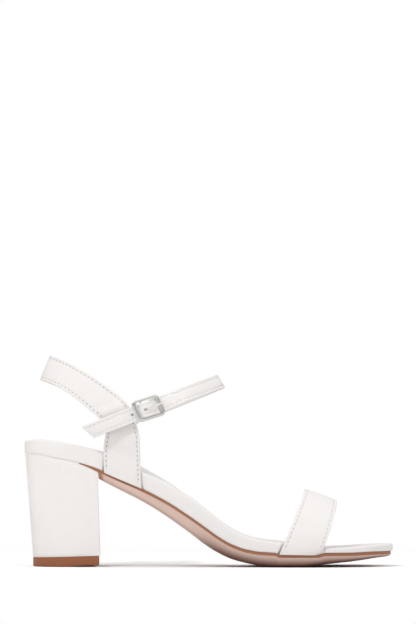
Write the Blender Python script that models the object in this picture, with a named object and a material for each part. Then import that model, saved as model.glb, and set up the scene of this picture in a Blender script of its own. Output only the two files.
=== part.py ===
"""Open-toe ankle strap sandal on a block heel, for the right foot.

The tables are in millimetres and the scene is in metres. +X runs to the toe, +Z is up
and -Y is the outer side of the foot. The origin lies on the floor at the middle of the length.
"""

import bmesh
import bpy
import numpy as np

MM = 0.001

# Driving sizes, in millimetres.
LENGTH = 235.1
BALL_WIDTH = 75.6
HEEL_HEIGHT = 71.7
GAP = 0.3

# Sideways shift that puts the middle of the whole width, buckle included, over the origin.
MIDDLE_Y = 0.86

# How the outline closes at its ends: reach in shares of the length, and how square the curve is.
HEEL_REACH = 0.115
HEEL_POWER = 2.0
TOE_REACH = 0.130
TOE_POWER = 2.4
END_REACH = 0.20

# Insole.
DISH_DEPTH = 2.2
DISH_REACH = 0.30
ARCH_RISE = 3.0
ARCH_PLACE = 0.30
ARCH_SPREAD = 0.07
INSOLE_STATIONS = 47
INSOLE_ACROSS = 7

# Outsole, with a thin tongue that runs back under the heel seat.
SOLE_INSET = 0.5
SOLE_BAND = 2.1
SOLE_STATIONS = 38
SOLE_ACROSS = 7
TONGUE_BACK = -82.0
TONGUE_FRONT = -70.0
TONGUE_THIN = 0.5
TONGUE_THICK = 2.0
TONGUE_STATIONS = 4
THIN_BAND = 0.6
SOLE_STEP = -69.7

# Heel block and its tip.
SEAT_INSET = 0.3
BREAST_TOP = -70.3
BREAST_BOTTOM = -68.5
TIP_FRONT = -69.2
HEEL_FOOT_BACK = -112.2
HEEL_FOOT_HALF = 22.9
HEEL_FOOT_REACH = 0.54
BREAST_TURN = 1.7
BREAST_TURN_FROM = 0.78
HEEL_STATIONS = 17
HEEL_ACROSS = 7
HEEL_LEVELS = 4
SEAT_STEP = (-0.001, 0.004)
TIP_HEIGHT = 6.1

# Straps.
STRAP_WALL = 1.8
STRAP_TUCK = 1.0
STRAP_STAND_OFF = 0.7
STRAP_DRAW_IN = 1.0
TOE_ARCH_POWER = 2.5
TOE_ARCH_SKEW = 4.0
TOE_LEAN_BACK = 0.96
TOE_LEAN_FRONT = 0.72
TOE_FORWARD = 2.4
TOE_FORWARD_FROM = 0.8
TOE_STATIONS = 33
TOE_ACROSS = 6
INNER_FOOT_BACK = 1.3
INNER_FOOT_ROWS = (16.0, 20.0)
COUNTER_STATIONS = 57
COUNTER_ACROSS = 5
ANKLE_WALL = 1.4
ANKLE_HALF = 4.8
ANKLE_FRONT_X = 8.2
ANKLE_FRONT_Z = 118.2
ANKLE_RISE = 0.395
ANKLE_STATIONS = 56
TAIL_SLANT = 4.7
FRONT_LEAN = 0.18
FRONT_ROW = 9.0
FRONT_ROWS = 2.6

# Buckle, in the ankle strap's own plane: places along the strap, then out from the foot.
FRAME_FRONT = -41.8
FRAME_FRONT_OUT = 38.0
FRAME_BACK = -57.4
FRAME_BACK_OUT = 39.6
FRAME_HALF = 6.3
FRAME_LIFT = 0.15
FRAME_TURN = -0.07
FRAME_CORNER = 2.1
FRAME_WIRE = 0.95
FRAME_SIDE = 1.6
HINGE_PLACE = -53.0
HINGE_OUT = 36.3
HINGE_WIRE = 0.55
HINGE_CORNER = 1.0
LOOP_RADIUS = 1.15
TAB_WALL = 0.7
TAB_HALF = 4.2
TAB_SLOT_HALF = 1.0
TAB_CURL_START = -95.0
TAB_CURL_END = 100.0
PRONG_WALL = 0.8
PRONG_HALF = 0.6
PRONG_CURL_START = 250.0
PRONG_CURL_END = 40.0
PUNCH_HALF = 0.85
PUNCH_SIDES = 16

# Holes in the ankle strap and the tab: front, back, and how far out the cut starts and ends.
PUNCHES = {
    "prong_hole": (-49.8, -52.5, 35.6, 41.6),
    "spare_hole": (-59.8, -61.6, 35.8, 38.0),
    "tab_slot": (-49.0, -55.6, 32.3, 40.3),
}


def smooth(knots, values, where):
    """Monotone cubic curve through the knots, which never overshoots its values."""
    step = np.diff(knots)
    rise = np.diff(values) / step
    before = 2.0 * step[1:] + step[:-1]
    after = step[1:] + 2.0 * step[:-1]
    same_way = rise[:-1] * rise[1:] > 0.0
    low = np.where(same_way, rise[:-1], 1.0)
    high = np.where(same_way, rise[1:], 1.0)
    inner = np.where(same_way, (before + after) / (before / low + after / high), 0.0)
    slope = np.concatenate(([rise[0]], inner, [rise[-1]]))
    where = np.clip(where, knots[0], knots[-1])
    row = np.clip(np.searchsorted(knots, where, side="right") - 1, 0, len(step) - 1)
    t = (where - knots[row]) / step[row]
    lift = values[row] * (1.0 + 2.0 * t) * (1.0 - t) ** 2
    lift = lift + values[row + 1] * t * t * (3.0 - 2.0 * t)
    bend = slope[row] * t * (1.0 - t) ** 2 - slope[row + 1] * t * t * (1.0 - t)
    return lift + bend * step[row]


def spline(values, where):
    """Natural cubic curve through evenly spaced values, even in its bends as a strap is."""
    inner = len(values) - 2
    system = 4.0 * np.eye(inner) + np.eye(inner, k=1) + np.eye(inner, k=-1)
    bend = np.zeros(len(values))
    bend[1:-1] = np.linalg.solve(system, 6.0 * np.diff(values, 2))
    row = np.clip(where.astype(int), 0, inner)
    late = where - row
    early = 1.0 - late
    line = early * values[row] + late * values[row + 1]
    return line + ((early ** 3 - early) * bend[row] + (late ** 3 - late) * bend[row + 1]) / 6.0


class Table:
    """Rows of sizes with named columns. The first column says where each row lies."""

    def __init__(self, columns, rows):
        self.columns = columns.split()
        self.rows = np.array(rows, dtype=float)

    def column(self, name):
        return self.rows[:, self.columns.index(name)]

    def at(self, name, where):
        """A column's value between the rows."""
        return smooth(self.rows[:, 0], self.column(name), np.asarray(where, dtype=float))


# The outline under the insole: share of the length, then shares of the ball width.
PLAN = Table("along axis half", [
    (0.00, 0.000, 0.344),
    (0.10, 0.000, 0.347),
    (0.18, -0.003, 0.354),
    (0.26, -0.012, 0.343),
    (0.34, -0.024, 0.323),
    (0.42, -0.041, 0.311),
    (0.50, -0.058, 0.320),
    (0.58, -0.062, 0.361),
    (0.66, -0.048, 0.429),
    (0.72, -0.032, 0.476),
    (0.78, -0.011, 0.500),
    (0.84, 0.011, 0.487),
    (0.90, 0.034, 0.439),
    (0.95, 0.056, 0.390),
    (1.00, 0.074, 0.344),
])

# Side view of the insole: its lower edge and its rim, in shares of the heel height.
PROFILE = Table("along feather rim", [
    (0.000, 1.000, 1.120),
    (0.035, 0.994, 1.127),
    (0.094, 0.954, 1.104),
    (0.155, 0.915, 1.064),
    (0.200, 0.868, 1.024),
    (0.230, 0.823, 0.993),
    (0.320, 0.692, 0.841),
    (0.396, 0.561, 0.727),
    (0.422, 0.506, 0.667),
    (0.450, 0.445, 0.612),
    (0.488, 0.357, 0.517),
    (0.526, 0.268, 0.417),
    (0.565, 0.197, 0.331),
    (0.602, 0.156, 0.273),
    (0.641, 0.136, 0.240),
    (0.702, 0.128, 0.215),
    (0.816, 0.128, 0.170),
    (0.871, 0.128, 0.175),
    (0.951, 0.136, 0.194),
    (1.000, 0.137, 0.201),
])

# Side view of the outsole's underside, flat on the floor below the ball.
TREAD = Table("along under", [
    (0.198, 0.788),
    (0.226, 0.738),
    (0.340, 0.543),
    (0.449, 0.300),
    (0.487, 0.204),
    (0.527, 0.121),
    (0.566, 0.064),
    (0.604, 0.032),
    (0.635, 0.012),
    (0.655, 0.004),
    (0.674, 0.000),
    (0.740, 0.000),
    (0.768, 0.006),
    (0.800, 0.020),
    (0.847, 0.037),
    (0.876, 0.046),
    (0.915, 0.0625),
    (0.955, 0.0805),
    (1.000, 0.092),
])

# Rolled edge of the insole, from its lower corner to its top.
INSOLE_EDGE = Table("ring inset rise", [
    (0, 0.3, 0.00),
    (1, -0.1, 0.12),
    (2, -0.2, 0.50),
    (3, -0.1, 0.84),
    (4, 0.5, 0.955),
    (5, 2.0, 1.00),
])

# Rounded underside of the outsole, from its edge band inwards to the flat tread.
SOLE_EDGE = Table("ring inset depth", [
    (0, 0.1, 0.00),
    (1, 1.5, 0.35),
    (2, 4.5, 0.75),
    (3, 9.5, 1.00),
])

# Toe strap: where its back edge (0) and front edge (1) stand on the sole and cross the crown.
TOE_STRAP = Table("edge foot_x crown_x crown_z", [
    (0, 44.4, 61.2, 48.5),
    (1, 69.6, 81.5, 41.1),
])

# Outer half of the heel strap, from its foot to the fold behind the ankle.
COUNTER = Table("row lower_x lower_z lower_spread upper_x upper_z upper_spread", [
    (0, -66.2, 59.7, 26.2, -42.4, 49.6, 24.5),
    (1, -66.4, 66.0, 27.1, -42.8, 55.5, 25.4),
    (2, -66.5, 73.0, 27.6, -43.1, 62.5, 26.0),
    (3, -66.0, 79.0, 29.0, -43.3, 72.5, 28.0),
    (4, -65.1, 84.5, 30.6, -43.8, 82.5, 30.2),
    (5, -65.7, 89.8, 31.6, -46.3, 92.2, 31.4),
    (6, -69.1, 93.9, 32.0, -50.9, 102.2, 31.6),
    (7, -74.5, 98.4, 31.6, -58.2, 109.5, 31.0),
    (8, -81.5, 104.4, 30.0, -67.2, 116.1, 29.4),
    (9, -89.4, 110.1, 26.6, -77.2, 122.6, 26.4),
    (10, -97.9, 115.0, 20.2, -88.0, 128.7, 20.6),
    (11, -104.9, 117.8, 11.0, -97.5, 133.1, 11.4),
    (12, -107.5, 118.7, 0.0, -100.9, 134.5, 0.0),
])

# Ankle strap, from its sewn end on the inner side, round the front, to its tail on the outer side.
ANKLE = Table("row place out", [
    (0, -74.0, -32.2),
    (1, -66.0, -32.2),
    (2, -58.0, -32.2),
    (3, -48.0, -32.1),
    (4, -38.0, -31.2),
    (5, -28.0, -28.6),
    (6, -18.0, -23.6),
    (7, -8.4, -16.2),
    (8, -1.9, -7.4),
    (9, 0.0, 1.0),
    (10, -1.9, 9.5),
    (11, -8.4, 18.6),
    (12, -18.0, 26.6),
    (13, -28.0, 32.0),
    (14, -36.0, 34.9),
    (15, -42.0, 36.2),
    (16, -45.5, 36.9),
    (17, -49.5, 38.2),
    (18, -53.0, 38.8),
    (19, -56.6, 37.6),
    (20, -60.0, 36.9),
    (21, -66.0, 36.7),
    (22, -75.0, 36.5),
    (23, -84.0, 35.6),
    (24, -90.8, 34.4),
])

# Folded tab: out along the heel strap to the hinge bar, and back over itself.
TAB_IN = Table("row place out", [
    (0, -74.0, 34.2),
    (1, -62.0, 34.2),
    (2, -57.5, 34.4),
    (3, -55.0, 34.8),
])
TAB_BACK = Table("row place out", [
    (0, -54.3, 37.0),
    (1, -56.6, 35.9),
    (2, -59.0, 35.35),
    (3, -62.0, 35.2),
    (4, -74.0, 35.2),
])

# Prong beyond its curl: out through the punched hole and over the front of the frame.
PRONG = Table("row place out", [
    (0, -50.6, 39.6),
    (1, -49.2, 40.3),
    (2, -46.0, 40.2),
    (3, -42.0, 39.5),
    (4, -40.4, 39.2),
])


def remove_objects():
    for item in list(bpy.data.objects):
        bpy.data.objects.remove(item, do_unlink=True)


def material(name, colour, roughness, metallic=0.0):
    """A Principled material of one colour."""
    made = bpy.data.materials.new(name)
    made.use_nodes = True
    made.diffuse_color = (*colour, 1.0)
    shader = made.node_tree.nodes["Principled BSDF"]
    shader.inputs["Base Color"].default_value = (*colour, 1.0)
    shader.inputs["Roughness"].default_value = roughness
    shader.inputs["Metallic"].default_value = metallic
    return made


def unit(vectors):
    return vectors / np.linalg.norm(vectors, axis=-1, keepdims=True)


def spread_ends(count, back=True, front=True):
    """Shares from 0 to 1, closer together at the ends that are asked for."""
    first = np.pi if back else 0.5 * np.pi
    last = 0.0 if front else 0.5 * np.pi
    steps = np.cos(np.linspace(first, last, count))
    return (steps - steps[0]) / (steps[-1] - steps[0])


def loft(name, sections, surface, ring=False):
    """One closed body through a row of closed sections, its flat ends filled."""
    rows, points = sections.shape[:2]
    shape = bmesh.new()
    sections = (sections + (0.0, MIDDLE_Y, 0.0)) * MM
    grid = [[shape.verts.new(point) for point in section] for section in sections]
    for row in range(rows if ring else rows - 1):
        this, after = grid[row], grid[(row + 1) % rows]
        for point in range(points):
            beside = (point + 1) % points
            shape.faces.new((this[point], this[beside], after[beside], after[point]))
    if not ring:
        shape.faces.new(grid[0])
        shape.faces.new(grid[-1])
    bmesh.ops.remove_doubles(shape, verts=shape.verts, dist=0.001 * MM)
    bmesh.ops.dissolve_degenerate(shape, edges=shape.edges, dist=0.0005 * MM)
    bmesh.ops.recalc_face_normals(shape, faces=shape.faces)
    mesh = bpy.data.meshes.new(name)
    shape.to_mesh(mesh)
    shape.free()
    mesh.shade_smooth()
    mesh.set_sharp_from_angle(angle=np.radians(40.0))
    mesh.materials.append(surface)
    made = bpy.data.objects.new(name, mesh)
    bpy.context.scene.collection.objects.link(made)
    return made


def combine(target, tool, operation):
    """Join a tool to the target or cut it away, and keep the tool out of the model."""
    step = target.modifiers.new(tool.name, "BOOLEAN")
    step.operation = operation
    step.solver = "EXACT"
    step.object = tool
    tool.hide_render = True
    tool.display_type = "WIRE"


def grown(grid, grow):
    """A strap's middle surface made longer and wider by the same margin all round."""
    grid = grid.copy()
    grid[0] += grow * unit(grid[0] - grid[1])
    grid[-1] += grow * unit(grid[-1] - grid[-2])
    grid[:, 0] += grow * unit(grid[:, 0] - grid[:, 1])
    grid[:, -1] += grow * unit(grid[:, -1] - grid[:, -2])
    return grid


def ribbon(grid, wall):
    """Closed sections of a strap of even thickness about its middle surface."""
    along = np.gradient(grid, axis=0)
    across = np.gradient(grid, axis=1)
    side = 0.5 * wall * unit(np.cross(along, across))
    return np.concatenate((grid + side, (grid - side)[:, ::-1]), axis=1)


def ease(values):
    """Soft step from 0 to 1."""
    values = np.clip(values, 0.0, 1.0)
    return values * values * (3.0 - 2.0 * values)


def end_round(distance, reach, power):
    """Share of the full width at a distance from a rounded end."""
    left = np.clip(1.0 - distance / reach, 0.0, 1.0)
    return (1.0 - left ** power) ** (1.0 / power)


def share_of(x):
    return x / LENGTH + 0.5


def edge(along, inset):
    """Sole outline moved inwards: its x, the middle line and the half width."""
    back = np.clip(1.0 - along / END_REACH, 0.0, 1.0) ** 2
    front = np.clip(1.0 - (1.0 - along) / END_REACH, 0.0, 1.0) ** 2
    x = (along - 0.5) * LENGTH + inset * (back - front)
    axis = BALL_WIDTH * PLAN.at("axis", along) + 0.0 * inset
    half = BALL_WIDTH * PLAN.at("half", along) - inset
    half = half * end_round(along, HEEL_REACH, HEEL_POWER)
    half = half * end_round(1.0 - along, TOE_REACH, TOE_POWER)
    return x, axis, half


def feather(x):
    """Height of the insole's lower edge."""
    return HEEL_HEIGHT * PROFILE.at("feather", share_of(x))


def rim(x):
    """Height of the insole's rim."""
    return HEEL_HEIGHT * PROFILE.at("rim", share_of(x))


def footbed(x, side):
    """Height of the insole's top: side runs from -1 at the outer edge to 1 at the inner one."""
    along = share_of(x)
    dish = DISH_DEPTH * np.clip(1.0 - along / DISH_REACH, 0.0, 1.0) * (1.0 - side ** 2)
    arch = ARCH_RISE * np.exp(-((along - ARCH_PLACE) / ARCH_SPREAD) ** 2) * (0.5 + 0.5 * side) ** 2
    return rim(x) + arch - dish


def across_sole(x, axis, half, count, height, turn=0.0):
    """Points inside one section, from the outer edge to the inner one, which may be turned back."""
    side = np.linspace(-1.0, 1.0, count + 2)[1:-1][None, :]
    x = x[:, None] - np.reshape(turn, (-1, 1)) * (0.5 + 0.5 * side)
    y = axis[:, None] + half[:, None] * side
    return np.stack((x, y, height(x, side)), axis=-1)


def build_insole(surface):
    along = spread_ends(INSOLE_STATIONS)[:, None]
    x, axis, half = edge(along, INSOLE_EDGE.column("inset")[None, :])
    rise = INSOLE_EDGE.column("rise")[None, :]
    walls = []
    for side in (-1.0, 1.0):
        z = feather(x) + rise * (footbed(x, side) - feather(x))
        walls.append(np.stack((x, axis + side * half, z), axis=-1))
    outer, inner = walls
    top = across_sole(x[:, -1], axis[:, -1], half[:, -1], INSOLE_ACROSS, footbed)
    under = across_sole(x[:, 0], axis[:, 0], half[:, 0], INSOLE_ACROSS, lambda at, side: feather(at))
    sections = np.concatenate((outer, top, inner[:, ::-1], under[:, ::-1]), axis=1)
    return loft("insole", sections, surface)


def sole_underside(x, tongue):
    """Height of the outsole's underside, or of the tongue's where there is one."""
    share = (x - TONGUE_BACK) / (TONGUE_FRONT - TONGUE_BACK)
    thickness = TONGUE_THIN + (TONGUE_THICK - TONGUE_THIN) * np.clip(share, 0.0, 1.0)
    return np.where(tongue, feather(x) - GAP - thickness, HEEL_HEIGHT * TREAD.at("under", share_of(x)))


def build_outsole(surface):
    tongue = share_of(np.linspace(TONGUE_BACK, TONGUE_FRONT, TONGUE_STATIONS))
    start = share_of(SOLE_STEP)
    along = np.concatenate((tongue, start + (1.0 - start) * spread_ends(SOLE_STATIONS, back=False)))
    along = along[:, None]
    in_tongue = np.arange(len(along))[:, None] < len(tongue)
    inset = SOLE_INSET + np.concatenate(([0.0], SOLE_EDGE.column("inset")))[None, :]
    depth = np.concatenate(([0.0], SOLE_EDGE.column("depth")))[None, :]
    below_band = np.concatenate(([0.0], np.ones(len(SOLE_EDGE.rows))))[None, :]
    x, axis, half = edge(along, inset)
    top = feather(x) - GAP
    bottom = sole_underside(x, in_tongue)
    band = np.minimum(SOLE_BAND, THIN_BAND * (top - bottom))
    z = top - below_band * band - depth * (top - below_band * band - bottom)
    outer = np.stack((x, axis - half, z), axis=-1)
    inner = np.stack((x, axis + half, z), axis=-1)
    crown = across_sole(x[:, 0], axis[:, 0], half[:, 0], SOLE_ACROSS, lambda at, side: feather(at) - GAP)
    tread = across_sole(x[:, -1], axis[:, -1], half[:, -1], SOLE_ACROSS,
                        lambda at, side: sole_underside(at, in_tongue))
    sections = np.concatenate((outer, tread, inner[:, ::-1], crown[:, ::-1]), axis=1)
    return loft("outsole", sections, surface)


def heel_foot(share, front):
    """Plan of the heel's foot from its back to its front: x, half width and the inner side's turn back."""
    x = HEEL_FOOT_BACK + (front - HEEL_FOOT_BACK) * share
    turn = BREAST_TURN * np.clip((share - BREAST_TURN_FROM) / (1.0 - BREAST_TURN_FROM), 0.0, 1.0)
    return x, HEEL_FOOT_HALF * end_round(share, HEEL_FOOT_REACH, HEEL_POWER), turn


def heel_seat(x):
    """Height of the heel's seat, let down where the outsole's tongue lies on it."""
    under_tongue = x > TONGUE_BACK - GAP
    return np.where(under_tongue, sole_underside(x, True), feather(x)) - GAP


def heel_shares():
    """Stations from the heel's back to its breast, with a pair at the step in the seat."""
    back = SEAT_INSET - 0.5 * LENGTH
    step = (TONGUE_BACK - GAP - back) / (BREAST_TOP - back)
    shares = spread_ends(HEEL_STATIONS, front=False)
    return np.sort(np.concatenate((shares, step + np.array(SEAT_STEP))))


def build_heel_block(surface):
    share = heel_shares()
    back = SEAT_INSET - 0.5 * LENGTH
    seat_x = back + (BREAST_TOP - back) * share
    _, axis, half = edge(share_of(seat_x - SEAT_INSET * (1.0 - share)), SEAT_INSET)
    foot_x, foot_half, turn = heel_foot(share, BREAST_BOTTOM)
    foot_z = TIP_HEIGHT + GAP
    corners = []
    for side in (-1.0, 1.0):
        back_by = turn * (0.5 + 0.5 * side)
        foot = np.stack((foot_x - back_by, side * foot_half, foot_z + 0.0 * foot_x), axis=-1)
        seat = np.stack((seat_x - back_by, axis + side * half, heel_seat(seat_x - back_by)), axis=-1)
        rise = np.linspace(0.0, 1.0, HEEL_LEVELS)[None, :, None]
        corners.append(foot[:, None] + rise * (seat - foot)[:, None])
    outer, inner = corners
    top = across_sole(seat_x, axis, half, HEEL_ACROSS, lambda at, side: heel_seat(at), turn)
    under = across_sole(foot_x, 0.0 * foot_x, foot_half, HEEL_ACROSS,
                        lambda at, side: foot_z + 0.0 * at, turn)
    sections = np.concatenate((outer, top, inner[:, ::-1], under[:, ::-1]), axis=1)
    return loft("heel_block", sections, surface)


def build_heel_tip(surface):
    x, half, turn = heel_foot(spread_ends(HEEL_STATIONS, front=False), TIP_FRONT)
    low, high = 0.0 * x, TIP_HEIGHT + 0.0 * x
    sections = np.stack((
        np.stack((x, -half, low), axis=-1),
        np.stack((x, -half, high), axis=-1),
        np.stack((x - turn, half, high), axis=-1),
        np.stack((x - turn, half, low), axis=-1),
    ), axis=1)
    return loft("heel_tip", sections, surface)


def toe_strap_surface():
    """Middle surface of the toe strap, from its outer foot over the crown to its inner one."""
    angle = np.linspace(0.0, np.pi, TOE_STATIONS)[:, None]
    lap = np.linspace(0.0, 1.0, TOE_ACROSS)[None, :]
    out = np.sign(np.cos(angle)) * np.abs(np.cos(angle)) ** (2.0 / TOE_ARCH_POWER)
    up = np.sin(angle) ** (2.0 / TOE_ARCH_POWER)
    foot_x, crown_x, crown_z = (
        first + (last - first) * lap
        for first, last in (TOE_STRAP.column(name) for name in ("foot_x", "crown_x", "crown_z"))
    )
    forward = TOE_FORWARD * ease(-out / TOE_FORWARD_FROM)
    foot_x, crown_x = foot_x + forward, crown_x + forward
    foot_z = feather(foot_x) - STRAP_TUCK
    x = foot_x + (crown_x - foot_x) * up ** (TOE_LEAN_BACK + (TOE_LEAN_FRONT - TOE_LEAN_BACK) * lap)
    z = foot_z + (crown_z - foot_z) * up
    _, axis, half = edge(share_of(foot_x + 0.0 * up), 0.0)
    to_rim = np.clip((z - foot_z) / (rim(foot_x) - foot_z), 0.0, 1.0)
    stand_off = STRAP_STAND_OFF - STRAP_DRAW_IN * (1.0 - to_rim) ** 2
    y = axis - out * (half + stand_off) + TOE_ARCH_SKEW * up ** 2
    return np.stack((x, y, z), axis=-1)


def counter_surface():
    """Middle surface of the heel strap, from its outer foot round the back to its inner one."""
    turn = np.linspace(0.0, 2.0 * (len(COUNTER.rows) - 1), COUNTER_STATIONS)
    first, last = INNER_FOOT_ROWS
    set_back = INNER_FOOT_BACK * ease((turn - first) / (last - first))

    def both_sides(name, sign=1.0):
        outer = COUNTER.column(name)
        return spline(np.concatenate((outer, sign * outer[-2::-1])), turn)

    edges = []
    for name in ("lower", "upper"):
        x = both_sides(name + "_x") - set_back
        _, axis, _ = edge(share_of(x), 0.0)
        y = axis - both_sides(name + "_spread", -1.0)
        edges.append(np.stack((x, y, both_sides(name + "_z")), axis=-1))
    lap = np.linspace(0.0, 1.0, COUNTER_ACROSS)[None, :, None]
    return edges[0][:, None] + lap * (edges[1] - edges[0])[:, None]


def on_ankle(place, out, across):
    """Point given along the ankle strap, out from the foot's middle plane and across the strap."""
    lean = np.hypot(1.0, ANKLE_RISE)
    x = ANKLE_FRONT_X + (place - ANKLE_RISE * across) / lean
    z = ANKLE_FRONT_Z + (ANKLE_RISE * place + across) / lean
    place, out, across = np.broadcast_arrays(place, out, across)
    return np.stack((x + 0.0 * out, -out, z + 0.0 * out), axis=-1)


def ankle_surface():
    """Middle surface of the ankle strap, its tail cut on a slant."""
    last = ANKLE.column("row")[-1]
    row = np.linspace(0.0, last, ANKLE_STATIONS)[:, None]
    across = np.linspace(-ANKLE_HALF, ANKLE_HALF, 3)[None, :]
    slant = np.clip(row - last + 2.0, 0.0, 2.0) / 2.0 * TAIL_SLANT * across / (2.0 * ANKLE_HALF)
    lean = FRONT_LEAN * (across + ANKLE_HALF) * np.exp(-((row - FRONT_ROW) / FRONT_ROWS) ** 2)
    place = spline(ANKLE.column("place"), row)
    return on_ankle(place - slant - lean, spline(ANKLE.column("out"), row), across)


def punch(name, span, half, surface):
    """Oval cutter that passes out through the ankle strap or the tab."""
    front, back, inner, outer = span
    angle = np.linspace(0.0, 2.0 * np.pi, PUNCH_SIDES + 1)[:-1]
    straight = 0.5 * (front - back) - half
    place = 0.5 * (front + back) + half * np.cos(angle) + straight * np.sign(np.cos(angle))
    across = half * np.sin(angle)
    ends = np.stack((on_ankle(place, inner, across), on_ankle(place, outer, across)))
    return loft(name, ends, surface)


def build_straps(insole, outsole, leather):
    """The upper: a toe strap, and a heel strap joined to the ankle strap where they cross."""
    for name, grid in (("toe_strap", toe_strap_surface()), ("heel_and_ankle_strap", counter_surface())):
        loft(name, ribbon(grid, STRAP_WALL), leather)
        room = loft(name + "_room", ribbon(grown(grid, GAP), STRAP_WALL + 2.0 * GAP), leather)
        for sole in (insole, outsole):
            combine(sole, room, "DIFFERENCE")
    heel_strap = bpy.data.objects["heel_and_ankle_strap"]
    ankle = loft("ankle_strap_length", ribbon(ankle_surface(), ANKLE_WALL), leather)
    combine(heel_strap, ankle, "UNION")
    for name in ("prong_hole", "spare_hole"):
        combine(heel_strap, punch(name, PUNCHES[name], PUNCH_HALF, leather), "DIFFERENCE")


def wire(path, flat, radius, ring, width=None, sides=8):
    """Closed round or widened sections along a path that lies in a plane with the given normal."""
    if ring:
        along = np.roll(path, -1, axis=0) - np.roll(path, 1, axis=0)
    else:
        along = np.gradient(path, axis=0)
    across = unit(np.cross(flat, unit(along)))
    angle = np.linspace(0.0, 2.0 * np.pi, sides + 1)[:-1][None, :, None]
    width = np.reshape(radius if width is None else width, (-1, 1, 1))
    return path[:, None] + radius * np.cos(angle) * flat + width * np.sin(angle) * across[:, None]


def corner_arcs(corners, radius, ring):
    """Points of a path with rounded corners, in a plane."""
    points = [] if ring else [corners[0]]
    count = len(corners)
    for index in range(count) if ring else range(1, count - 1):
        here = corners[index]
        to_last = unit(corners[index - 1] - here)
        to_next = unit(corners[(index + 1) % count] - here)
        for share in np.linspace(0.0, 1.0, 5):
            turn = 0.5 * np.pi * share
            points.append(here + radius * (to_last * (1.0 - np.sin(turn)) + to_next * (1.0 - np.cos(turn))))
    if not ring:
        points.append(corners[-1])
    return np.array(points)


def frame_out(place):
    """How far out the tilted frame lies at a place along the strap."""
    share = (place - FRAME_FRONT) / (FRAME_BACK - FRAME_FRONT)
    return FRAME_FRONT_OUT + share * (FRAME_BACK_OUT - FRAME_FRONT_OUT)


def build_buckle(metal, leather):
    place = np.array((FRAME_BACK, FRAME_FRONT, FRAME_FRONT, FRAME_BACK))
    across = FRAME_LIFT + np.array((-FRAME_HALF, -FRAME_HALF, FRAME_HALF, FRAME_HALF))
    across = across + FRAME_TURN * (place - 0.5 * (FRAME_FRONT + FRAME_BACK))
    corners = on_ankle(place, frame_out(place), across)
    flat = unit(np.cross(corners[1] - corners[0], corners[3] - corners[0]))
    to_thin = np.linspace(FRAME_SIDE, FRAME_WIRE, 5)
    width = np.concatenate((to_thin, to_thin[::-1], to_thin, to_thin[::-1]))
    path = corner_arcs(corners, FRAME_CORNER, True)
    frame = loft("buckle_frame", wire(path, flat, FRAME_WIRE, True, width), metal, ring=True)
    rail = frame_out(HINGE_PLACE)
    at_hinge = (HINGE_PLACE - FRAME_BACK) / (FRAME_FRONT - FRAME_BACK)
    low, high = across[0] + at_hinge * (across[1] - across[0]), across[3] + at_hinge * (across[2] - across[3])
    ends = on_ankle(HINGE_PLACE, np.array((rail, HINGE_OUT, HINGE_OUT, rail)), np.array((low, low, high, high)))
    strap_way = unit(on_ankle(1.0, 0.0, 0.0) - on_ankle(0.0, 0.0, 0.0))
    bar = loft("hinge_bar", wire(corner_arcs(ends, HINGE_CORNER, False), strap_way, HINGE_WIRE, False), metal)
    combine(frame, bar, "UNION")
    build_tab(leather)
    build_prong(metal)


def round_hinge(start, end, count):
    """Place and out of points on the curl round the hinge bar, between two angles in degrees."""
    angle = np.radians(np.linspace(start, end, count))
    return HINGE_PLACE + LOOP_RADIUS * np.cos(angle), HINGE_OUT + LOOP_RADIUS * np.sin(angle)


def strip(place, out, half, wall):
    """Closed sections of a flat strip that bends in the plane along the strap and out from it."""
    across = np.linspace(-half, half, 3)[None, :]
    return ribbon(on_ankle(place[:, None], out[:, None], across), wall)


def steps_of(table, count):
    """Place and out of points along a table's curve."""
    row = np.linspace(0.0, table.rows[-1, 0], count)
    return table.at("place", row), table.at("out", row)


def build_tab(leather):
    runs = (steps_of(TAB_IN, 8), round_hinge(TAB_CURL_START, TAB_CURL_END, 12), steps_of(TAB_BACK, 10))
    place, out = (np.concatenate(part) for part in zip(*runs))
    tab = loft("buckle_tab", strip(place, out, TAB_HALF, TAB_WALL), leather)
    combine(tab, punch("tab_slot", PUNCHES["tab_slot"], TAB_SLOT_HALF, leather), "DIFFERENCE")


def build_prong(metal):
    runs = (round_hinge(PRONG_CURL_START, PRONG_CURL_END, 11), steps_of(PRONG, 13))
    place, out = (np.concatenate(part) for part in zip(*runs))
    loft("buckle_prong", strip(place, out, PRONG_HALF, PRONG_WALL), metal)


def main():
    remove_objects()
    leather = material("white_leather", (0.84, 0.82, 0.80), 0.45)
    rubber = material("tan_rubber", (0.56, 0.41, 0.35), 0.55)
    brown = material("brown_rubber", (0.28, 0.11, 0.06), 0.50)
    nickel = material("polished_nickel", (0.72, 0.71, 0.70), 0.18, 1.0)
    insole = build_insole(leather)
    outsole = build_outsole(rubber)
    build_heel_block(leather)
    build_heel_tip(brown)
    build_straps(insole, outsole, leather)
    build_buckle(nickel, leather)


main()
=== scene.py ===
"""Finished pieces of a white ankle strap sandal on a block heel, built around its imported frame."""

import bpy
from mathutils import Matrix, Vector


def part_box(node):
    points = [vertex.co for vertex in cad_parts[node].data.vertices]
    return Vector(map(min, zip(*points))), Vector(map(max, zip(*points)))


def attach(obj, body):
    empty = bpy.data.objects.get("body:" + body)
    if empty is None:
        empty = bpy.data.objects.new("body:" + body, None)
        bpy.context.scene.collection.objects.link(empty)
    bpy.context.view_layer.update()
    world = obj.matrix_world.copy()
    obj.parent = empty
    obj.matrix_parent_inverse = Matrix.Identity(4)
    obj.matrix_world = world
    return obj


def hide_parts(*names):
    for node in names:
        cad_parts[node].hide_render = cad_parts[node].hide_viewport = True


bl_info = {
    "name": "Ankle strap block heel",
    "version": (1, 0, 0),
    "blender": (4, 5, 0),
    "location": "3D View > Sidebar > Sandal",
    "description": "Builds the leather, sole, stitching and buckle of an ankle strap sandal",
    "category": "Add Mesh",
}

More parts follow.
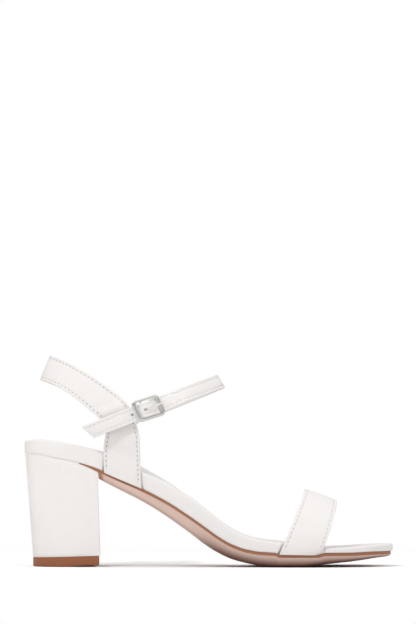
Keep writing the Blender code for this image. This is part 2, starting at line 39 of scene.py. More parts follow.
import bmesh
import bpy
import numpy as np
from mathutils import Vector

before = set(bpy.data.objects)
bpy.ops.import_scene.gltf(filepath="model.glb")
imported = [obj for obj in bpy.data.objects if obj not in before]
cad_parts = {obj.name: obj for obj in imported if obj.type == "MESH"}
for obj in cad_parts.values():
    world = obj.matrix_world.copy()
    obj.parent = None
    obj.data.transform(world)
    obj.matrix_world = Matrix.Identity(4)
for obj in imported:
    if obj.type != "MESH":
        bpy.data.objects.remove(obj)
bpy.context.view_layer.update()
BODY = "root"
FINISHED = "finished_"
MM = 0.001


def node_box(name):
    """Lowest and highest corner of a frame node, in millimetres."""
    low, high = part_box(name)
    return np.array(low) / MM, np.array(high) / MM


# How far the insole's edge bulges past the last, in millimetres.
INSOLE_BULGE = 0.2

# Sizes read from the frame, in millimetres. +X runs to the toe and -Y is the outer side.
INSOLE_LOW, INSOLE_HIGH = node_box("insole")
TIP_LOW, TIP_HIGH = node_box("heel_tip")
LENGTH = INSOLE_HIGH[0] - INSOLE_LOW[0] - 2.0 * INSOLE_BULGE
TIP_HEIGHT = TIP_HIGH[2]
MIDDLE_Y = 0.5 * (TIP_LOW[1] + TIP_HIGH[1])
HEEL_FOOT_BACK, TIP_FRONT = TIP_LOW[0], TIP_HIGH[0]
HEEL_FOOT_HALF = 0.5 * (TIP_HIGH[1] - TIP_LOW[1])

# Sizes of the last that the frame's solids were drawn from, and the joint left between pieces.
BALL_WIDTH = 75.6
HEEL_HEIGHT = 71.7
JOINT = 0.08

# How the outline closes at its ends, in shares of the length.
HEEL_REACH = 0.115
HEEL_POWER = 2.0
TOE_REACH = 0.130
TOE_POWER = 2.4
END_REACH = 0.20
OFF_ENDS = (0.002, 0.998)

# Footbed: the heel's dish and the rise under the arch.
DISH_DEPTH = 2.2
DISH_REACH = 0.30
DISH_FADE = (0.026, 0.106)
ARCH_RISE = 3.0
ARCH_PLACE = 0.30
ARCH_SPREAD = 0.07
SOCK_INSET = 3.99

# Outsole and the tongue that runs back under the heel seat.
SOLE_INSET = 0.5
SOLE_BAND = 1.95
THIN_BAND = 0.6
SOLE_BAND_INSETS = (0.40, 0.22, 0.18, 0.06)
SOLE_BAND_SHARES = (0.00, 0.08, 0.97, 1.00)
LOW_TREAD = 2.5
HIGH_TREAD = 26.0
BROWN_END = (1.0, 7.0)
BROWN_SHARE = 0.62
DIP_REACH = 2.4
DIP_EARLY = 2.6
TOE_SETBACK = 0.4
TOE_SETBACK_FROM = 0.9
TOE_SQUARE = 0.75
TOE_SQUARE_FROM = 0.80
TONGUE_BACK = -82.0
TONGUE_FRONT = -70.0
TONGUE_THIN = 0.5
TONGUE_THICK = 2.0
TONGUE_PROUD = 0.3
SOLE_STEP = -69.7

# Heel block and its top piece.
SEAT_INSET = 0.3
SEAT_STEP = 0.2
BREAST_TOP = -70.3
TIP_SETBACK = 0.7
BREAST_BOTTOM = TIP_FRONT + TIP_SETBACK
BREAST_TURN = 1.7
BREAST_TURN_FROM = 0.78
HEEL_FOOT_REACH = 0.54
TIP_RISE = 1.3
TIP_LEVEL_AT = 0.3
TIP_LIFT = 1.2
TIP_FLAT = 0.35
BREAST_ROUND = 0.7
BREAST_HOLLOW = 1.6
COVER_ROUND = 0.2
COVER_SPAN = (0.004, 0.994)

# Straps.
STRAP_TUCK = 1.0
STRAP_STAND_OFF = 0.7
STRAP_DRAW_IN = 1.0
STRAP_CLEARANCE = 1.05
TOE_ARCH_POWER = 2.5
TOE_ARCH_SKEW = 4.0
TOE_LEAN_BACK = 0.96
TOE_LEAN_FRONT = 0.72
TOE_FORWARD = 2.4
TOE_FORWARD_FROM = 0.8
TOE_GROOVE = 0.8
TOE_UNTUCK = 0.9
TOE_UNTUCK_FROM = 0.84
INNER_FOOT_BACK = 1.3
INNER_FOOT_ROWS = (16.0, 20.0)
ANKLE_HALF = 4.8
ANKLE_FRONT_X = 8.2
ANKLE_FRONT_Z = 118.2
ANKLE_RISE = 0.395
TAIL_SLANT = 4.7
TAIL_ROWS = 2.0
FRONT_LEAN = 0.18
FRONT_ROW = 9.0
FRONT_ROWS = 2.6
# How strongly the stitch grooves are darkened with painted shade.
SEAM_SHADE_GAIN = 5.0

# Painted shade where the straps go in beside the insole, and the toe strap's painted shadow on the rim
# ahead of it: how dark it is and how far it reaches.
SEAM_REACH = 0.8
TOE_SEAM_EVEN = 0.35
TOE_SEAM_LOW = 0.60
TOE_SHADE = 5.0
TOE_SHADE_DARK = 0.40
TOE_SHADE_RIM = (0.70, 0.90)
HEEL_SEAM_DARK = 0.8
HEEL_SEAM_OUT = 0.5

# Stitch lines, on a strap's face (1) and its lining (-1): where they start and end along it.
TOE_STITCHES = {1.0: (0.018, 0.982), -1.0: (0.12, 0.88)}
HEEL_STITCHES = {1.0: (0.025, 0.975), -1.0: (0.10, 0.90)}
ANKLE_STITCHES = (0.010, 0.988)
STITCH_SINK = 0.10

# Buckle: places along the ankle strap, then out from the foot.
FRAME_FRONT = -41.8
FRAME_FRONT_OUT = 38.0
FRAME_BACK = -57.4
FRAME_BACK_OUT = 39.6
FRAME_HALF = 6.3
FRAME_LIFT = 0.15
FRAME_TURN = -0.07
FRAME_CORNER = 2.1
# Painted shade and dark reflection on the frame's inner edge: the way it is strongest, its least share,
# and where it starts and ends round the wire.
FRAME_SHADE_WAY = np.array((-0.6, 0.0, 0.8))
FRAME_SHADE_LEAST = 0.15
FRAME_SHADE_EDGE = (0.30, 0.65)
HINGE_PLACE = -53.0
HINGE_OUT = 36.3
HINGE_CORNER = 1.0
LOOP_RADIUS = 1.15
TAB_HALF = 4.2
TAB_CURL = (-95.0, 100.0)
PRONG_HALF = 0.6
PRONG_WALL = 0.8
PRONG_CURL = (250.0, 40.0)
PRONG_NARROW = 0.72
PRONG_POINT = (0.62, 0.48, 0.25)
STRIP_SQUARENESS = 0.35

# How finely the pieces are cut: sections along each one, steps on its edge and points across it.
SECTIONS = {"insole": 521, "tongue": 24, "outsole": 420, "heel": 90, "heel_corner": 12, "cover": 26,
            "toe_strap": 241, "heel_strap": 381, "ankle_strap": 421, "stitch_row": 400,
            "stitch_ring": 500, "curl": 40, "tab_in": 40, "tab_back": 50, "prong": 50, "point": 17}
EDGE_STEPS = {"insole": 3, "outsole": 5}
ACROSS = {"insole": 29, "outsole": 23, "breast": 23, "strap": 7, "stitch_ring": 14}

# How near points are merged, and the angles in degrees past which an edge is shaded sharp.
DOUBLES = 0.002
SLIVERS = 0.0005
SHARP = 50.0
SOLE_SHARP = 40.0
STRAP_SHARP = 70.0


def smooth(knots, values, where):
    """Monotone cubic curve through the knots, which never overshoots its values."""
    step = np.diff(knots)
    rise = np.diff(values) / step
    before = 2.0 * step[1:] + step[:-1]
    after = step[1:] + 2.0 * step[:-1]
    same_way = rise[:-1] * rise[1:] > 0.0
    low = np.where(same_way, rise[:-1], 1.0)
    high = np.where(same_way, rise[1:], 1.0)
    inner = np.where(same_way, (before + after) / (before / low + after / high), 0.0)
    slope = np.concatenate(([rise[0]], inner, [rise[-1]]))
    where = np.clip(where, knots[0], knots[-1])
    row = np.clip(np.searchsorted(knots, where, side="right") - 1, 0, len(step) - 1)
    t = (where - knots[row]) / step[row]
    lift = values[row] * (1.0 + 2.0 * t) * (1.0 - t) ** 2
    lift = lift + values[row + 1] * t * t * (3.0 - 2.0 * t)
    bend = slope[row] * t * (1.0 - t) ** 2 - slope[row + 1] * t * t * (1.0 - t)
    return lift + bend * step[row]


def spline(values, where):
    """Natural cubic curve through evenly spaced values, even in its bends as a strap is."""
    inner = len(values) - 2
    system = 4.0 * np.eye(inner) + np.eye(inner, k=1) + np.eye(inner, k=-1)
    bend = np.zeros(len(values))
    bend[1:-1] = np.linalg.solve(system, 6.0 * np.diff(values, 2))
    row = np.clip(where.astype(int), 0, inner)
    late = where - row
    early = 1.0 - late
    line = early * values[row] + late * values[row + 1]
    return line + ((early ** 3 - early) * bend[row] + (late ** 3 - late) * bend[row + 1]) / 6.0


class Table:
    """Rows of sizes with named columns. The first column says where each row lies."""

    def __init__(self, columns, rows):
        self.columns = columns.split()
        self.rows = np.array(rows, dtype=float)

    def column(self, name):
        return self.rows[:, self.columns.index(name)]

    def at(self, name, where):
        """A column's value between the rows."""
        return smooth(self.rows[:, 0], self.column(name), np.asarray(where, dtype=float))

    def finer(self, name, steps):
        """A column read at several even steps between each pair of rows."""
        last = len(self.rows) - 1
        return self.at(name, np.linspace(0.0, last, last * steps + 1))


# The outline under the insole: share of the length, then shares of the ball width.
PLAN = Table("along axis half", [
    (0.00, 0.000, 0.344),
    (0.10, 0.000, 0.347),
    (0.18, -0.003, 0.354),
    (0.26, -0.012, 0.343),
    (0.34, -0.024, 0.323),
    (0.42, -0.041, 0.311),
    (0.50, -0.058, 0.320),
    (0.58, -0.062, 0.361),
    (0.66, -0.048, 0.429),
    (0.72, -0.032, 0.476),
    (0.78, -0.011, 0.500),
    (0.84, 0.011, 0.487),
    (0.90, 0.034, 0.439),
    (0.95, 0.056, 0.390),
    (1.00, 0.074, 0.344),
])

# Side view of the insole: its lower edge and its rim, in shares of the heel height.
PROFILE = Table("along feather rim", [
    (0.000, 1.000, 1.120),
    (0.035, 0.994, 1.127),
    (0.094, 0.954, 1.104),
    (0.155, 0.915, 1.064),
    (0.200, 0.868, 1.024),
    (0.230, 0.823, 0.993),
    (0.320, 0.692, 0.841),
    (0.396, 0.561, 0.727),
    (0.422, 0.506, 0.667),
    (0.450, 0.445, 0.612),
    (0.488, 0.357, 0.517),
    (0.526, 0.268, 0.417),
    (0.565, 0.197, 0.331),
    (0.602, 0.156, 0.273),
    (0.641, 0.136, 0.240),
    (0.702, 0.128, 0.215),
    (0.816, 0.128, 0.170),
    (0.871, 0.128, 0.175),
    (0.951, 0.136, 0.194),
    (1.000, 0.137, 0.201),
])

# Side view of the outsole's underside, flat on the floor below the ball.
TREAD = Table("along under", [
    (0.198, 0.788),
    (0.226, 0.738),
    (0.340, 0.543),
    (0.449, 0.300),
    (0.487, 0.204),
    (0.527, 0.121),
    (0.566, 0.064),
    (0.604, 0.032),
    (0.635, 0.012),
    (0.655, 0.004),
    (0.674, 0.000),
    (0.740, 0.000),
    (0.768, 0.006),
    (0.800, 0.020),
    (0.847, 0.037),
    (0.876, 0.046),
    (0.915, 0.0625),
    (0.955, 0.0805),
    (1.000, 0.092),
])

# Rolled edge of the insole, from its lower corner over the rim to the sock's sunk edge.
INSOLE_EDGE = Table("ring inset rise sink", [
    (0, 0.30, 0.00, 0.00),
    (1, -0.10, 0.10, 0.00),
    (2, -0.20, 0.50, 0.00),
    (3, -0.10, 0.84, 0.00),
    (4, 0.40, 0.95, 0.00),
    (5, 2.00, 1.00, 0.00),
    (6, 3.60, 1.00, 0.02),
    (7, 4.00, 1.00, 0.16),
    (8, 4.40, 1.00, 0.02),
    (9, 6.00, 1.00, -0.05),
])

RIM_INSET = INSOLE_EDGE.column("inset")[5]

# Rounded underside of the outsole, from its edge band inwards to the flat tread. Its face stands
# nearly upright under the waist.
SOLE_EDGE = Table("ring inset waist_inset depth", [
    (0, 0.1, 0.1, 0.00),
    (1, 1.5, 0.4, 0.35),
    (2, 4.5, 1.2, 0.75),
    (3, 9.5, 4.5, 1.00),
])

# Toe strap: where its back edge (0) and front edge (1) stand on the sole and cross the crown.
TOE_STRAP = Table("edge foot_x crown_x crown_z", [
    (0, 44.4, 61.2, 48.5),
    (1, 69.6, 81.5, 41.1),
])

# Outer half of the heel strap, from its foot to the fold behind the ankle.
COUNTER = Table("row lower_x lower_z lower_spread upper_x upper_z upper_spread", [
    (0, -66.2, 59.7, 26.2, -42.4, 49.6, 24.5),
    (1, -66.4, 66.0, 27.1, -42.8, 55.5, 25.4),
    (2, -66.5, 73.0, 27.6, -43.1, 62.5, 26.0),
    (3, -66.0, 79.0, 29.0, -43.3, 72.5, 28.0),
    (4, -65.1, 84.5, 30.6, -43.8, 82.5, 30.2),
    (5, -65.7, 89.8, 31.6, -46.3, 92.2, 31.4),
    (6, -69.1, 93.9, 32.0, -50.9, 102.2, 31.6),
    (7, -74.5, 98.4, 31.6, -58.2, 109.5, 31.0),
    (8, -81.5, 104.4, 30.0, -67.2, 116.1, 29.4),
    (9, -89.4, 110.1, 26.6, -77.2, 122.6, 26.4),
    (10, -97.9, 115.0, 20.2, -88.0, 128.7, 20.6),
    (11, -104.9, 117.8, 11.0, -97.5, 133.1, 11.4),
    (12, -107.5, 118.7, 0.0, -100.9, 134.5, 0.0),
])

# Ankle strap, from its sewn end on the inner side, round the front, to its tail on the outer side.
ANKLE = Table("row place out", [
    (0, -74.0, -32.2),
    (1, -66.0, -32.2),
    (2, -58.0, -32.2),
    (3, -48.0, -32.1),
    (4, -38.0, -31.2),
    (5, -28.0, -28.6),
    (6, -18.0, -23.6),
    (7, -8.4, -16.2),
    (8, -1.9, -7.4),
    (9, 0.0, 1.0),
    (10, -1.9, 9.5),
    (11, -8.4, 18.6),
    (12, -18.0, 26.6),
    (13, -28.0, 32.0),
    (14, -36.0, 34.9),
    (15, -42.0, 36.2),
    (16, -45.5, 36.9),
    (17, -49.5, 38.2),
    (18, -53.0, 38.8),
    (19, -56.6, 37.6),
    (20, -60.0, 36.9),
    (21, -66.0, 36.7),
    (22, -75.0, 36.5),
    (23, -84.0, 35.6),
    (24, -90.8, 34.4),
])

# Folded tab: out along the heel strap to the hinge bar, and back over itself.
TAB_IN = Table("row place out", [
    (0, -74.0, 34.2),
    (1, -62.0, 34.2),
    (2, -57.5, 34.4),
    (3, -55.0, 34.8),
])
TAB_BACK = Table("row place out", [
    (0, -54.3, 37.0),
    (1, -56.6, 35.9),
    (2, -59.0, 35.35),
    (3, -62.0, 35.2),
    (4, -74.0, 35.2),
])

# Prong beyond its curl: out through the punched hole and over the front of the frame.
PRONG = Table("row place out", [
    (0, -50.6, 39.6),
    (1, -49.2, 40.3),
    (2, -46.0, 40.2),
    (3, -42.0, 39.5),
    (4, -40.4, 39.2),
])

# Holes in the ankle strap and the tab: front, back, and how far out the cut starts and ends.
PUNCHES = {
    "prong_hole": (-49.9, -52.5, 35.6, 41.6),
    "spare_hole": (-59.8, -61.3, 35.8, 38.0),
    "tab_slot": (-49.0, -55.6, 32.3, 40.3),
}
PUNCH_HALF = 0.66
SLOT_HALF = 1.0

# Edge of a strap: distance in from its edge, height in shares of half the wall, then how far a
# stitch line pulls it in and how worn the edge looks.
STRAP_EDGE = Table("row inset level sink rim", [
    (0, 0.14, 0.00, 0.00, 1.0),
    (1, 0.03, 0.12, 0.00, 0.6),
    (2, 0.00, 0.40, 0.00, 0.4),
    (3, 0.04, 0.72, 0.00, 0.3),
    (4, 0.15, 0.93, 0.00, 0.2),
    (5, 0.40, 1.00, 0.00, 0.1),
    (6, 1.20, 1.00, -0.03, 0.0),
    (7, 1.50, 1.00, 0.05, 0.0),
    (8, 1.72, 1.00, 0.14, 0.0),
    (9, 1.90, 1.00, 0.18, 0.0),
    (10, 2.08, 1.00, 0.14, 0.0),
    (11, 2.30, 1.00, 0.05, 0.0),
    (12, 2.90, 1.00, -0.02, 0.0),
])

# Rounded tail of the ankle strap: steps back from its end, and the share of the wall left there.
TAIL_ROUND = Table("row step_back wall", [
    (0, 0.60, 0.95),
    (1, 0.25, 0.80),
    (2, 0.00, 0.50),
])

# Edge of the heel's top piece, from the floor up: distance in from its outline, and its level.
TIP_EDGE = Table("row inset level", [
    (0, 0.5, 0.00),
    (1, 0.1, 0.06),
    (2, 0.0, 0.16),
    (3, 0.0, 0.94),
    (4, 0.2, 1.00),
])

# Soft creases: share along the strap, share across, their reaches, and the depth.
TOE_CREASES = (
    (0.12, 0.45, 0.030, 0.60, -0.30),
    (0.20, 0.60, 0.040, 0.50, 0.24),
    (0.86, 0.50, 0.035, 0.60, -0.24),
)
HEEL_CREASES = (
    (0.105, 0.45, 0.022, 0.45, -0.45),
    (0.160, 0.60, 0.024, 0.50, 0.36),
    (0.225, 0.35, 0.016, 0.45, -0.42),
    (0.255, 0.60, 0.016, 0.40, 0.30),
    (0.285, 0.40, 0.014, 0.40, -0.26),
    (0.420, 0.55, 0.025, 0.60, 0.20),
    (0.500, 0.50, 0.018, 0.80, -0.22),
    (0.760, 0.30, 0.022, 0.50, -0.26),
    (0.885, 0.50, 0.020, 0.40, -0.30),
)
ANKLE_CREASES = (
    (0.330, 0.50, 0.012, 0.90, 0.12),
    (0.390, 0.50, 0.010, 0.90, -0.14),
    (0.560, 0.50, 0.012, 0.90, -0.12),
    (0.880, 0.40, 0.012, 0.60, -0.12),
)


def unit(vectors):
    """Vectors brought to a length of 1."""
    return vectors / np.linalg.norm(vectors, axis=-1, keepdims=True)


def ramp(values, start, end):
    """Soft step from 0 at the start to 1 at the end."""
    share = np.clip((values - start) / (end - start), 0.0, 1.0)
    return share * share * (3.0 - 2.0 * share)


def between(first, last, count):
    """Even steps from one value to another, without the two ends."""
    return np.linspace(first, last, count)[1:-1]


def full_turn(count):
    """Even angles once round."""
    return np.linspace(0.0, 2.0 * np.pi, count + 1)[:-1]


def signed_power(values, power):
    """Powers of values that keep their signs."""
    return np.sign(values) * np.abs(values) ** power


def end_round(distance, reach, power):
    """Share of the full width at a distance from a rounded end."""
    left = np.clip(1.0 - distance / reach, 0.0, 1.0)
    return (1.0 - left ** power) ** (1.0 / power)


def spread_ends(count, back=True, front=True):
    """Shares from 0 to 1, closer together at the ends that are asked for."""
    first = np.pi if back else 0.5 * np.pi
    last = 0.0 if front else 0.5 * np.pi
    steps = np.cos(np.linspace(first, last, count))
    return (steps - steps[0]) / (steps[-1] - steps[0])


def share_of(x):
    """Share of the shoe's length at a place, from its heel."""
    return x / LENGTH + 0.5


def place_of(along):
    """Place at a share of the shoe's length."""
    return (along - 0.5) * LENGTH


def edge(along, inset):
    """Sole outline moved inwards: its x, the middle line and the half width."""
    back = np.clip(1.0 - along / END_REACH, 0.0, 1.0) ** 2
    front = np.clip(1.0 - (1.0 - along) / END_REACH, 0.0, 1.0) ** 2
    x = place_of(along) + inset * (back - front)
    axis = BALL_WIDTH * PLAN.at("axis", along) + 0.0 * inset
    half = BALL_WIDTH * PLAN.at("half", along) - inset
    half = half * end_round(along, HEEL_REACH, HEEL_POWER)
    half = half * end_round(1.0 - along, TOE_REACH, TOE_POWER)
    return x, axis, half


def feather(x):
    """Height of the insole's lower edge."""
    return HEEL_HEIGHT * PROFILE.at("feather", share_of(x))


def rim(x):
    """Height of the insole's rim."""
    return HEEL_HEIGHT * PROFILE.at("rim", share_of(x))


def footbed(x, side):
    """Height of the insole's top: side runs from -1 at the outer edge to 1 at the inner one."""
    along = share_of(x)
    dish = DISH_DEPTH * np.clip(1.0 - along / DISH_REACH, 0.0, 1.0) * (1.0 - side ** 2)
    dish = dish * ramp(along, *DISH_FADE)
    arch = ARCH_RISE * np.exp(-((along - ARCH_PLACE) / ARCH_SPREAD) ** 2) * (0.5 + 0.5 * side) ** 2
    return rim(x) + arch - dish


def sole_underside(x, tongue):
    """Height of the outsole's underside, or of the tongue's where there is one."""
    share = (x - TONGUE_BACK) / (TONGUE_FRONT - TONGUE_BACK)
    thickness = TONGUE_THIN + (TONGUE_THICK - TONGUE_THIN) * np.clip(share, 0.0, 1.0)
    tread = HEEL_HEIGHT * TREAD.at("under", share_of(x))
    return np.where(tongue, feather(x) - JOINT - thickness, tread)


def toe_strap(s, u):
    """Toe strap's middle surface: s from its outer foot to its inner one, u from back to front."""
    angle = np.pi * np.clip(s, 0.0, 1.0)
    out = signed_power(np.cos(angle), 2.0 / TOE_ARCH_POWER)
    up = np.sin(angle).clip(0.0, 1.0) ** (2.0 / TOE_ARCH_POWER)
    columns = map(TOE_STRAP.column, ("foot_x", "crown_x", "crown_z"))
    foot_x, crown_x, crown_z = (back + (front - back) * u for back, front in columns)
    forward = TOE_FORWARD * ramp(-out, 0.0, TOE_FORWARD_FROM)
    foot_x, crown_x = foot_x + forward, crown_x + forward
    foot_z = feather(foot_x) - STRAP_TUCK * (1.0 - TOE_UNTUCK * ramp(u, TOE_UNTUCK_FROM, 1.0))
    x = foot_x + (crown_x - foot_x) * up ** (TOE_LEAN_BACK + (TOE_LEAN_FRONT - TOE_LEAN_BACK) * u)
    z = foot_z + (crown_z - foot_z) * up
    _, axis, half = edge(share_of(foot_x + 0.0 * up), 0.0)
    to_rim = np.clip((z - foot_z) / (rim(foot_x) - foot_z), 0.0, 1.0)
    stand_off = STRAP_STAND_OFF - STRAP_DRAW_IN * (1.0 - to_rim) ** 2
    y = axis - out * (half + stand_off) + TOE_ARCH_SKEW * up ** 2
    return np.stack((x, y, z), axis=-1)


def heel_strap(s, u):
    """Heel strap's middle surface: s from its outer foot round the back to its inner one."""
    turn = np.asarray(2.0 * (len(COUNTER.rows) - 1) * np.clip(s, 0.0, 1.0) + 0.0 * u)
    set_back = INNER_FOOT_BACK * ramp(turn, *INNER_FOOT_ROWS)

    def both_sides(name, sign=1.0):
        outer = COUNTER.column(name)
        return spline(np.concatenate((outer, sign * outer[-2::-1])), turn)

    edges = []
    for name in ("lower", "upper"):
        x = both_sides(name + "_x") - set_back
        _, axis, _ = edge(share_of(x), 0.0)
        y = axis - both_sides(name + "_spread", -1.0)
        edges.append(np.stack((x, y, both_sides(name + "_z")), axis=-1))
    lower, upper = edges
    return lower + np.asarray(u + 0.0 * turn)[..., None] * (upper - lower)


def on_ankle(place, out, across):
    """Point given along the ankle strap, out from the foot's middle plane and across the strap."""
    lean = np.hypot(1.0, ANKLE_RISE)
    x = ANKLE_FRONT_X + (place - ANKLE_RISE * across) / lean
    z = ANKLE_FRONT_Z + (ANKLE_RISE * place + across) / lean
    x, y, z = np.broadcast_arrays(x, -np.asarray(out), z)
    return np.stack((x, y, z), axis=-1)


def ankle_strap(s, u):
    """Ankle strap's middle surface: s from its sewn end to its slanted tail, u from lower to upper."""
    last = len(ANKLE.rows) - 1
    row = np.asarray(last * np.clip(s, 0.0, 1.0) + 0.0 * u)
    across = (2.0 * u - 1.0) * ANKLE_HALF
    in_tail = np.clip(row - last + TAIL_ROWS, 0.0, TAIL_ROWS) / TAIL_ROWS
    slant = in_tail * TAIL_SLANT * across / (2.0 * ANKLE_HALF)
    lean = FRONT_LEAN * (across + ANKLE_HALF) * np.exp(-((row - FRONT_ROW) / FRONT_ROWS) ** 2)
    place = spline(ANKLE.column("place"), row) - slant - lean
    return on_ankle(place, spline(ANKLE.column("out"), row), across)


def strap_width(form, s):
    """Width of a strap at places along it."""
    return np.linalg.norm(form(s, 1.0 + 0.0 * s) - form(s, 0.0 * s), axis=-1)


def outward(form, s, u):
    """Unit normal of a strap's middle surface, away from the foot."""
    step = 0.0005
    along = form(np.clip(s + step, 0.0, 1.0), u) - form(np.clip(s - step, 0.0, 1.0), u)
    across = form(s, u + step) - form(s, u - step)
    return unit(np.cross(across, along))


def metres(points):
    """Points of the tables, in millimetres about the foot's middle, as places in the frame."""
    return (np.asarray(points) + (0.0, MIDDLE_Y, 0.0)) * MM


def new_object(name, mesh, materials):
    """Link a mesh to the scene with its materials, at the origin."""
    for surface in materials:
        mesh.materials.append(surface)
    made = bpy.data.objects.new(name, mesh)
    bpy.context.scene.collection.objects.link(made)
    return made


def weld(mesh, sharp):
    """Merge doubled points, point all faces outwards and shade round stretches smooth."""
    shape = bmesh.new()
    shape.from_mesh(mesh)
    bmesh.ops.remove_doubles(shape, verts=shape.verts, dist=DOUBLES * MM)
    bmesh.ops.dissolve_degenerate(shape, edges=shape.edges, dist=SLIVERS * MM)
    bmesh.ops.recalc_face_normals(shape, faces=shape.faces)
    shape.to_mesh(mesh)
    shape.free()
    mesh.shade_smooth()
    mesh.set_sharp_from_angle(angle=np.radians(sharp))


def skin(name, sections, materials, ring=False, slots=0, marks=None, sharp=SHARP):
    """One closed mesh through a row of closed sections, with marks stored at its points."""
    rows, points = sections.shape[:2]
    index = np.arange(rows * points).reshape(rows, points)
    here = index if ring else index[:-1]
    after = np.roll(index, -1, axis=0) if ring else index[1:]
    quads = np.stack((here, np.roll(here, -1, axis=1), np.roll(after, -1, axis=1), after), axis=-1)
    faces = quads.reshape(-1, 4).tolist()
    face_slots = np.broadcast_to(slots, here.shape).reshape(-1).tolist()
    if not ring:
        faces += [index[0].tolist(), index[-1].tolist()]
        face_slots += [0, 0]
    mesh = bpy.data.meshes.new(name)
    mesh.from_pydata(metres(sections).reshape(-1, 3).tolist(), [], faces)
    mesh.polygons.foreach_set("material_index", face_slots)
    for mark, values in (marks or {}).items():
        layer = mesh.attributes.new(mark, "FLOAT", "POINT")
        values = np.broadcast_to(values, index.shape).astype(np.float32)
        layer.data.foreach_set("value", values.ravel())
    weld(mesh, sharp)
    return new_object(name, mesh, materials)


def seat(piece, slot, *nodes):
    """Fix a finished piece to the shoe, in place of the frame's plain solids."""
    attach(piece, BODY)
    if nodes:
        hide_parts(*nodes)
    return piece


class Wire:
    """A value in a node tree, which takes part in Python arithmetic."""

    def __init__(self, tree, socket=None):
        self.tree = tree
        self.socket = socket

    def node(self, kind, settings=None, sockets=None, output=0):
        """Add a node: its settings are set first, then the values or links of its sockets."""
        made = self.tree.nodes.new(kind)
        for name, value in (settings or {}).items():
            setattr(made, name, value)
        for name, value in (sockets or {}).items():
            if isinstance(value, Wire):
                self.tree.links.new(value.socket, made.inputs[name])
            else:
                made.inputs[name].default_value = value
        return Wire(self.tree, made.outputs[output])

    def math(self, operation, first, second):
        return self.node("ShaderNodeMath", {"operation": operation}, {0: first, 1: second})

    def __add__(self, other):
        return self.math("ADD", self, other)

    __radd__ = __add__

    def __sub__(self, other):
        return self.math("SUBTRACT", self, other)

    def __rsub__(self, other):
        return self.math("SUBTRACT", other, self)

    def __mul__(self, other):
        return self.math("MULTIPLY", self, other)

    __rmul__ = __mul__

    def between(self, low, high):
        """The value held between two limits."""
        return self.node("ShaderNodeClamp", None, {"Value": self, "Min": low, "Max": high})

    def step(self, low, high):
        """Soft step from 0 at the low value to 1 at the high one."""
        sockets = {"Value": self, "From Min": low, "From Max": high}
        return self.node("ShaderNodeMapRange", {"interpolation_type": "SMOOTHSTEP"}, sockets)

    def mix(self, first, second):
        """A colour between two, by this value."""
        sockets = {"Factor": self, 6: first, 7: second}
        return self.node("ShaderNodeMix", {"data_type": "RGBA"}, sockets, 2)

    def shades(self, colour, first, second):
        """A colour between two levels of its brightness, by this value."""
        return self.mix(tone(colour, first), tone(colour, second))


# Distance between the lines of a wave texture at scale 1.
WAVE_PITCH = 0.1 * np.pi


class Finish:
    """A material in the making: its shader, and the places and marks of the piece it covers."""

    def __init__(self, name, **constants):
        self.material = bpy.data.materials.new(FINISHED + name)
        self.material.use_nodes = True
        self.tree = self.material.node_tree
        self.node = Wire(self.tree).node
        self.shader = self.tree.nodes["Principled BSDF"]
        for socket, value in constants.items():
            self.shader.inputs[socket.replace("_", " ").title()].default_value = value
        self.place = self.node("ShaderNodeTexCoord", output="Object")

    def mark(self, name):
        """A value stored at the points of the mesh."""
        return self.node("ShaderNodeAttribute", {"attribute_name": name}, output="Fac")

    def mapped(self, **sockets):
        """The place on the piece, turned or drawn out along its axes."""
        sockets = {name.capitalize(): value for name, value in sockets.items()}
        return self.node("ShaderNodeMapping", None, {"Vector": self.place, **sockets})

    def noise(self, scale, detail=2.0, place=None):
        """Cloudy values of a given fineness."""
        sockets = {"Vector": place or self.place, "Scale": scale, "Detail": detail}
        return self.node("ShaderNodeTexNoise", None, sockets)

    def lines(self, pitch, turn):
        """Fine even lines across the piece's length, leaning by an angle in the side view."""
        sockets = {"Vector": self.mapped(rotation=(0.0, turn, 0.0)), "Scale": WAVE_PITCH / pitch,
                   "Distortion": 0.8, "Detail": 1.0}
        return self.node("ShaderNodeTexWave", {"bands_direction": "X"}, sockets, "Fac")

    def cells(self, scale):
        """Distance from the middles of small rounded cells, as in leather grain."""
        sockets = {"Vector": self.place, "Scale": scale}
        return self.node("ShaderNodeTexVoronoi", {"feature": "SMOOTH_F1"}, sockets)

    def paint(self, colour=None, roughness=None, height=None, relief=0.0, strength=0.5):
        """Feed the shader with what varies over the surface. Relief is in metres."""
        feeds = {"Base Color": colour, "Roughness": roughness}
        if height is not None:
            sockets = {"Strength": strength, "Distance": relief, "Height": height}
            feeds["Normal"] = self.node("ShaderNodeBump", None, sockets)
        for name, value in feeds.items():
            if value is not None:
                self.tree.links.new(value.socket, self.shader.inputs[name])
        return self.material


def tone(colour, level=1.0):
    """A colour with its brightness changed, for a socket."""
    return (*(level * channel for channel in colour), 1.0)


def once(make):
    """Make a material the first time it is asked for, and share it after that."""
    def shared(*arguments):
        found = bpy.data.materials.get(FINISHED + make.__name__)
        return found or make(*arguments)
    return shared


@once
def white_leather(colours):
    """White face leather with fine grain, worn at its edges, with painted shade in its stitch grooves and
    beside the straps.
    """
    finish = Finish("white_leather", roughness=0.44)
    mottle = finish.noise(45.0, 3.0)
    # Edge wear from the rim mark, painted shade in the stitch grooves from the seam mark, and random
    # mottling.
    worn = finish.mark("rim") * 0.30 + finish.mark("seam") * 0.10 + (mottle - 0.5) * 0.10
    grain = finish.cells(1500.0) * 0.55 + finish.noise(4200.0) * 0.25
    grain = grain + finish.noise(220.0, 3.0) * 0.35
    colour = worn.between(0.0, 1.0).mix(tone(colours.leather), tone(colours.leather_wear_and_shade))
    # Painted shade beside the straps, from the insole's mark.
    colour = finish.mark("grime").between(0.0, 1.0).mix(colour, tone(colours.grime))
    return finish.paint(colour, 0.40 + mottle * 0.10, grain, relief=0.00006, strength=0.35)


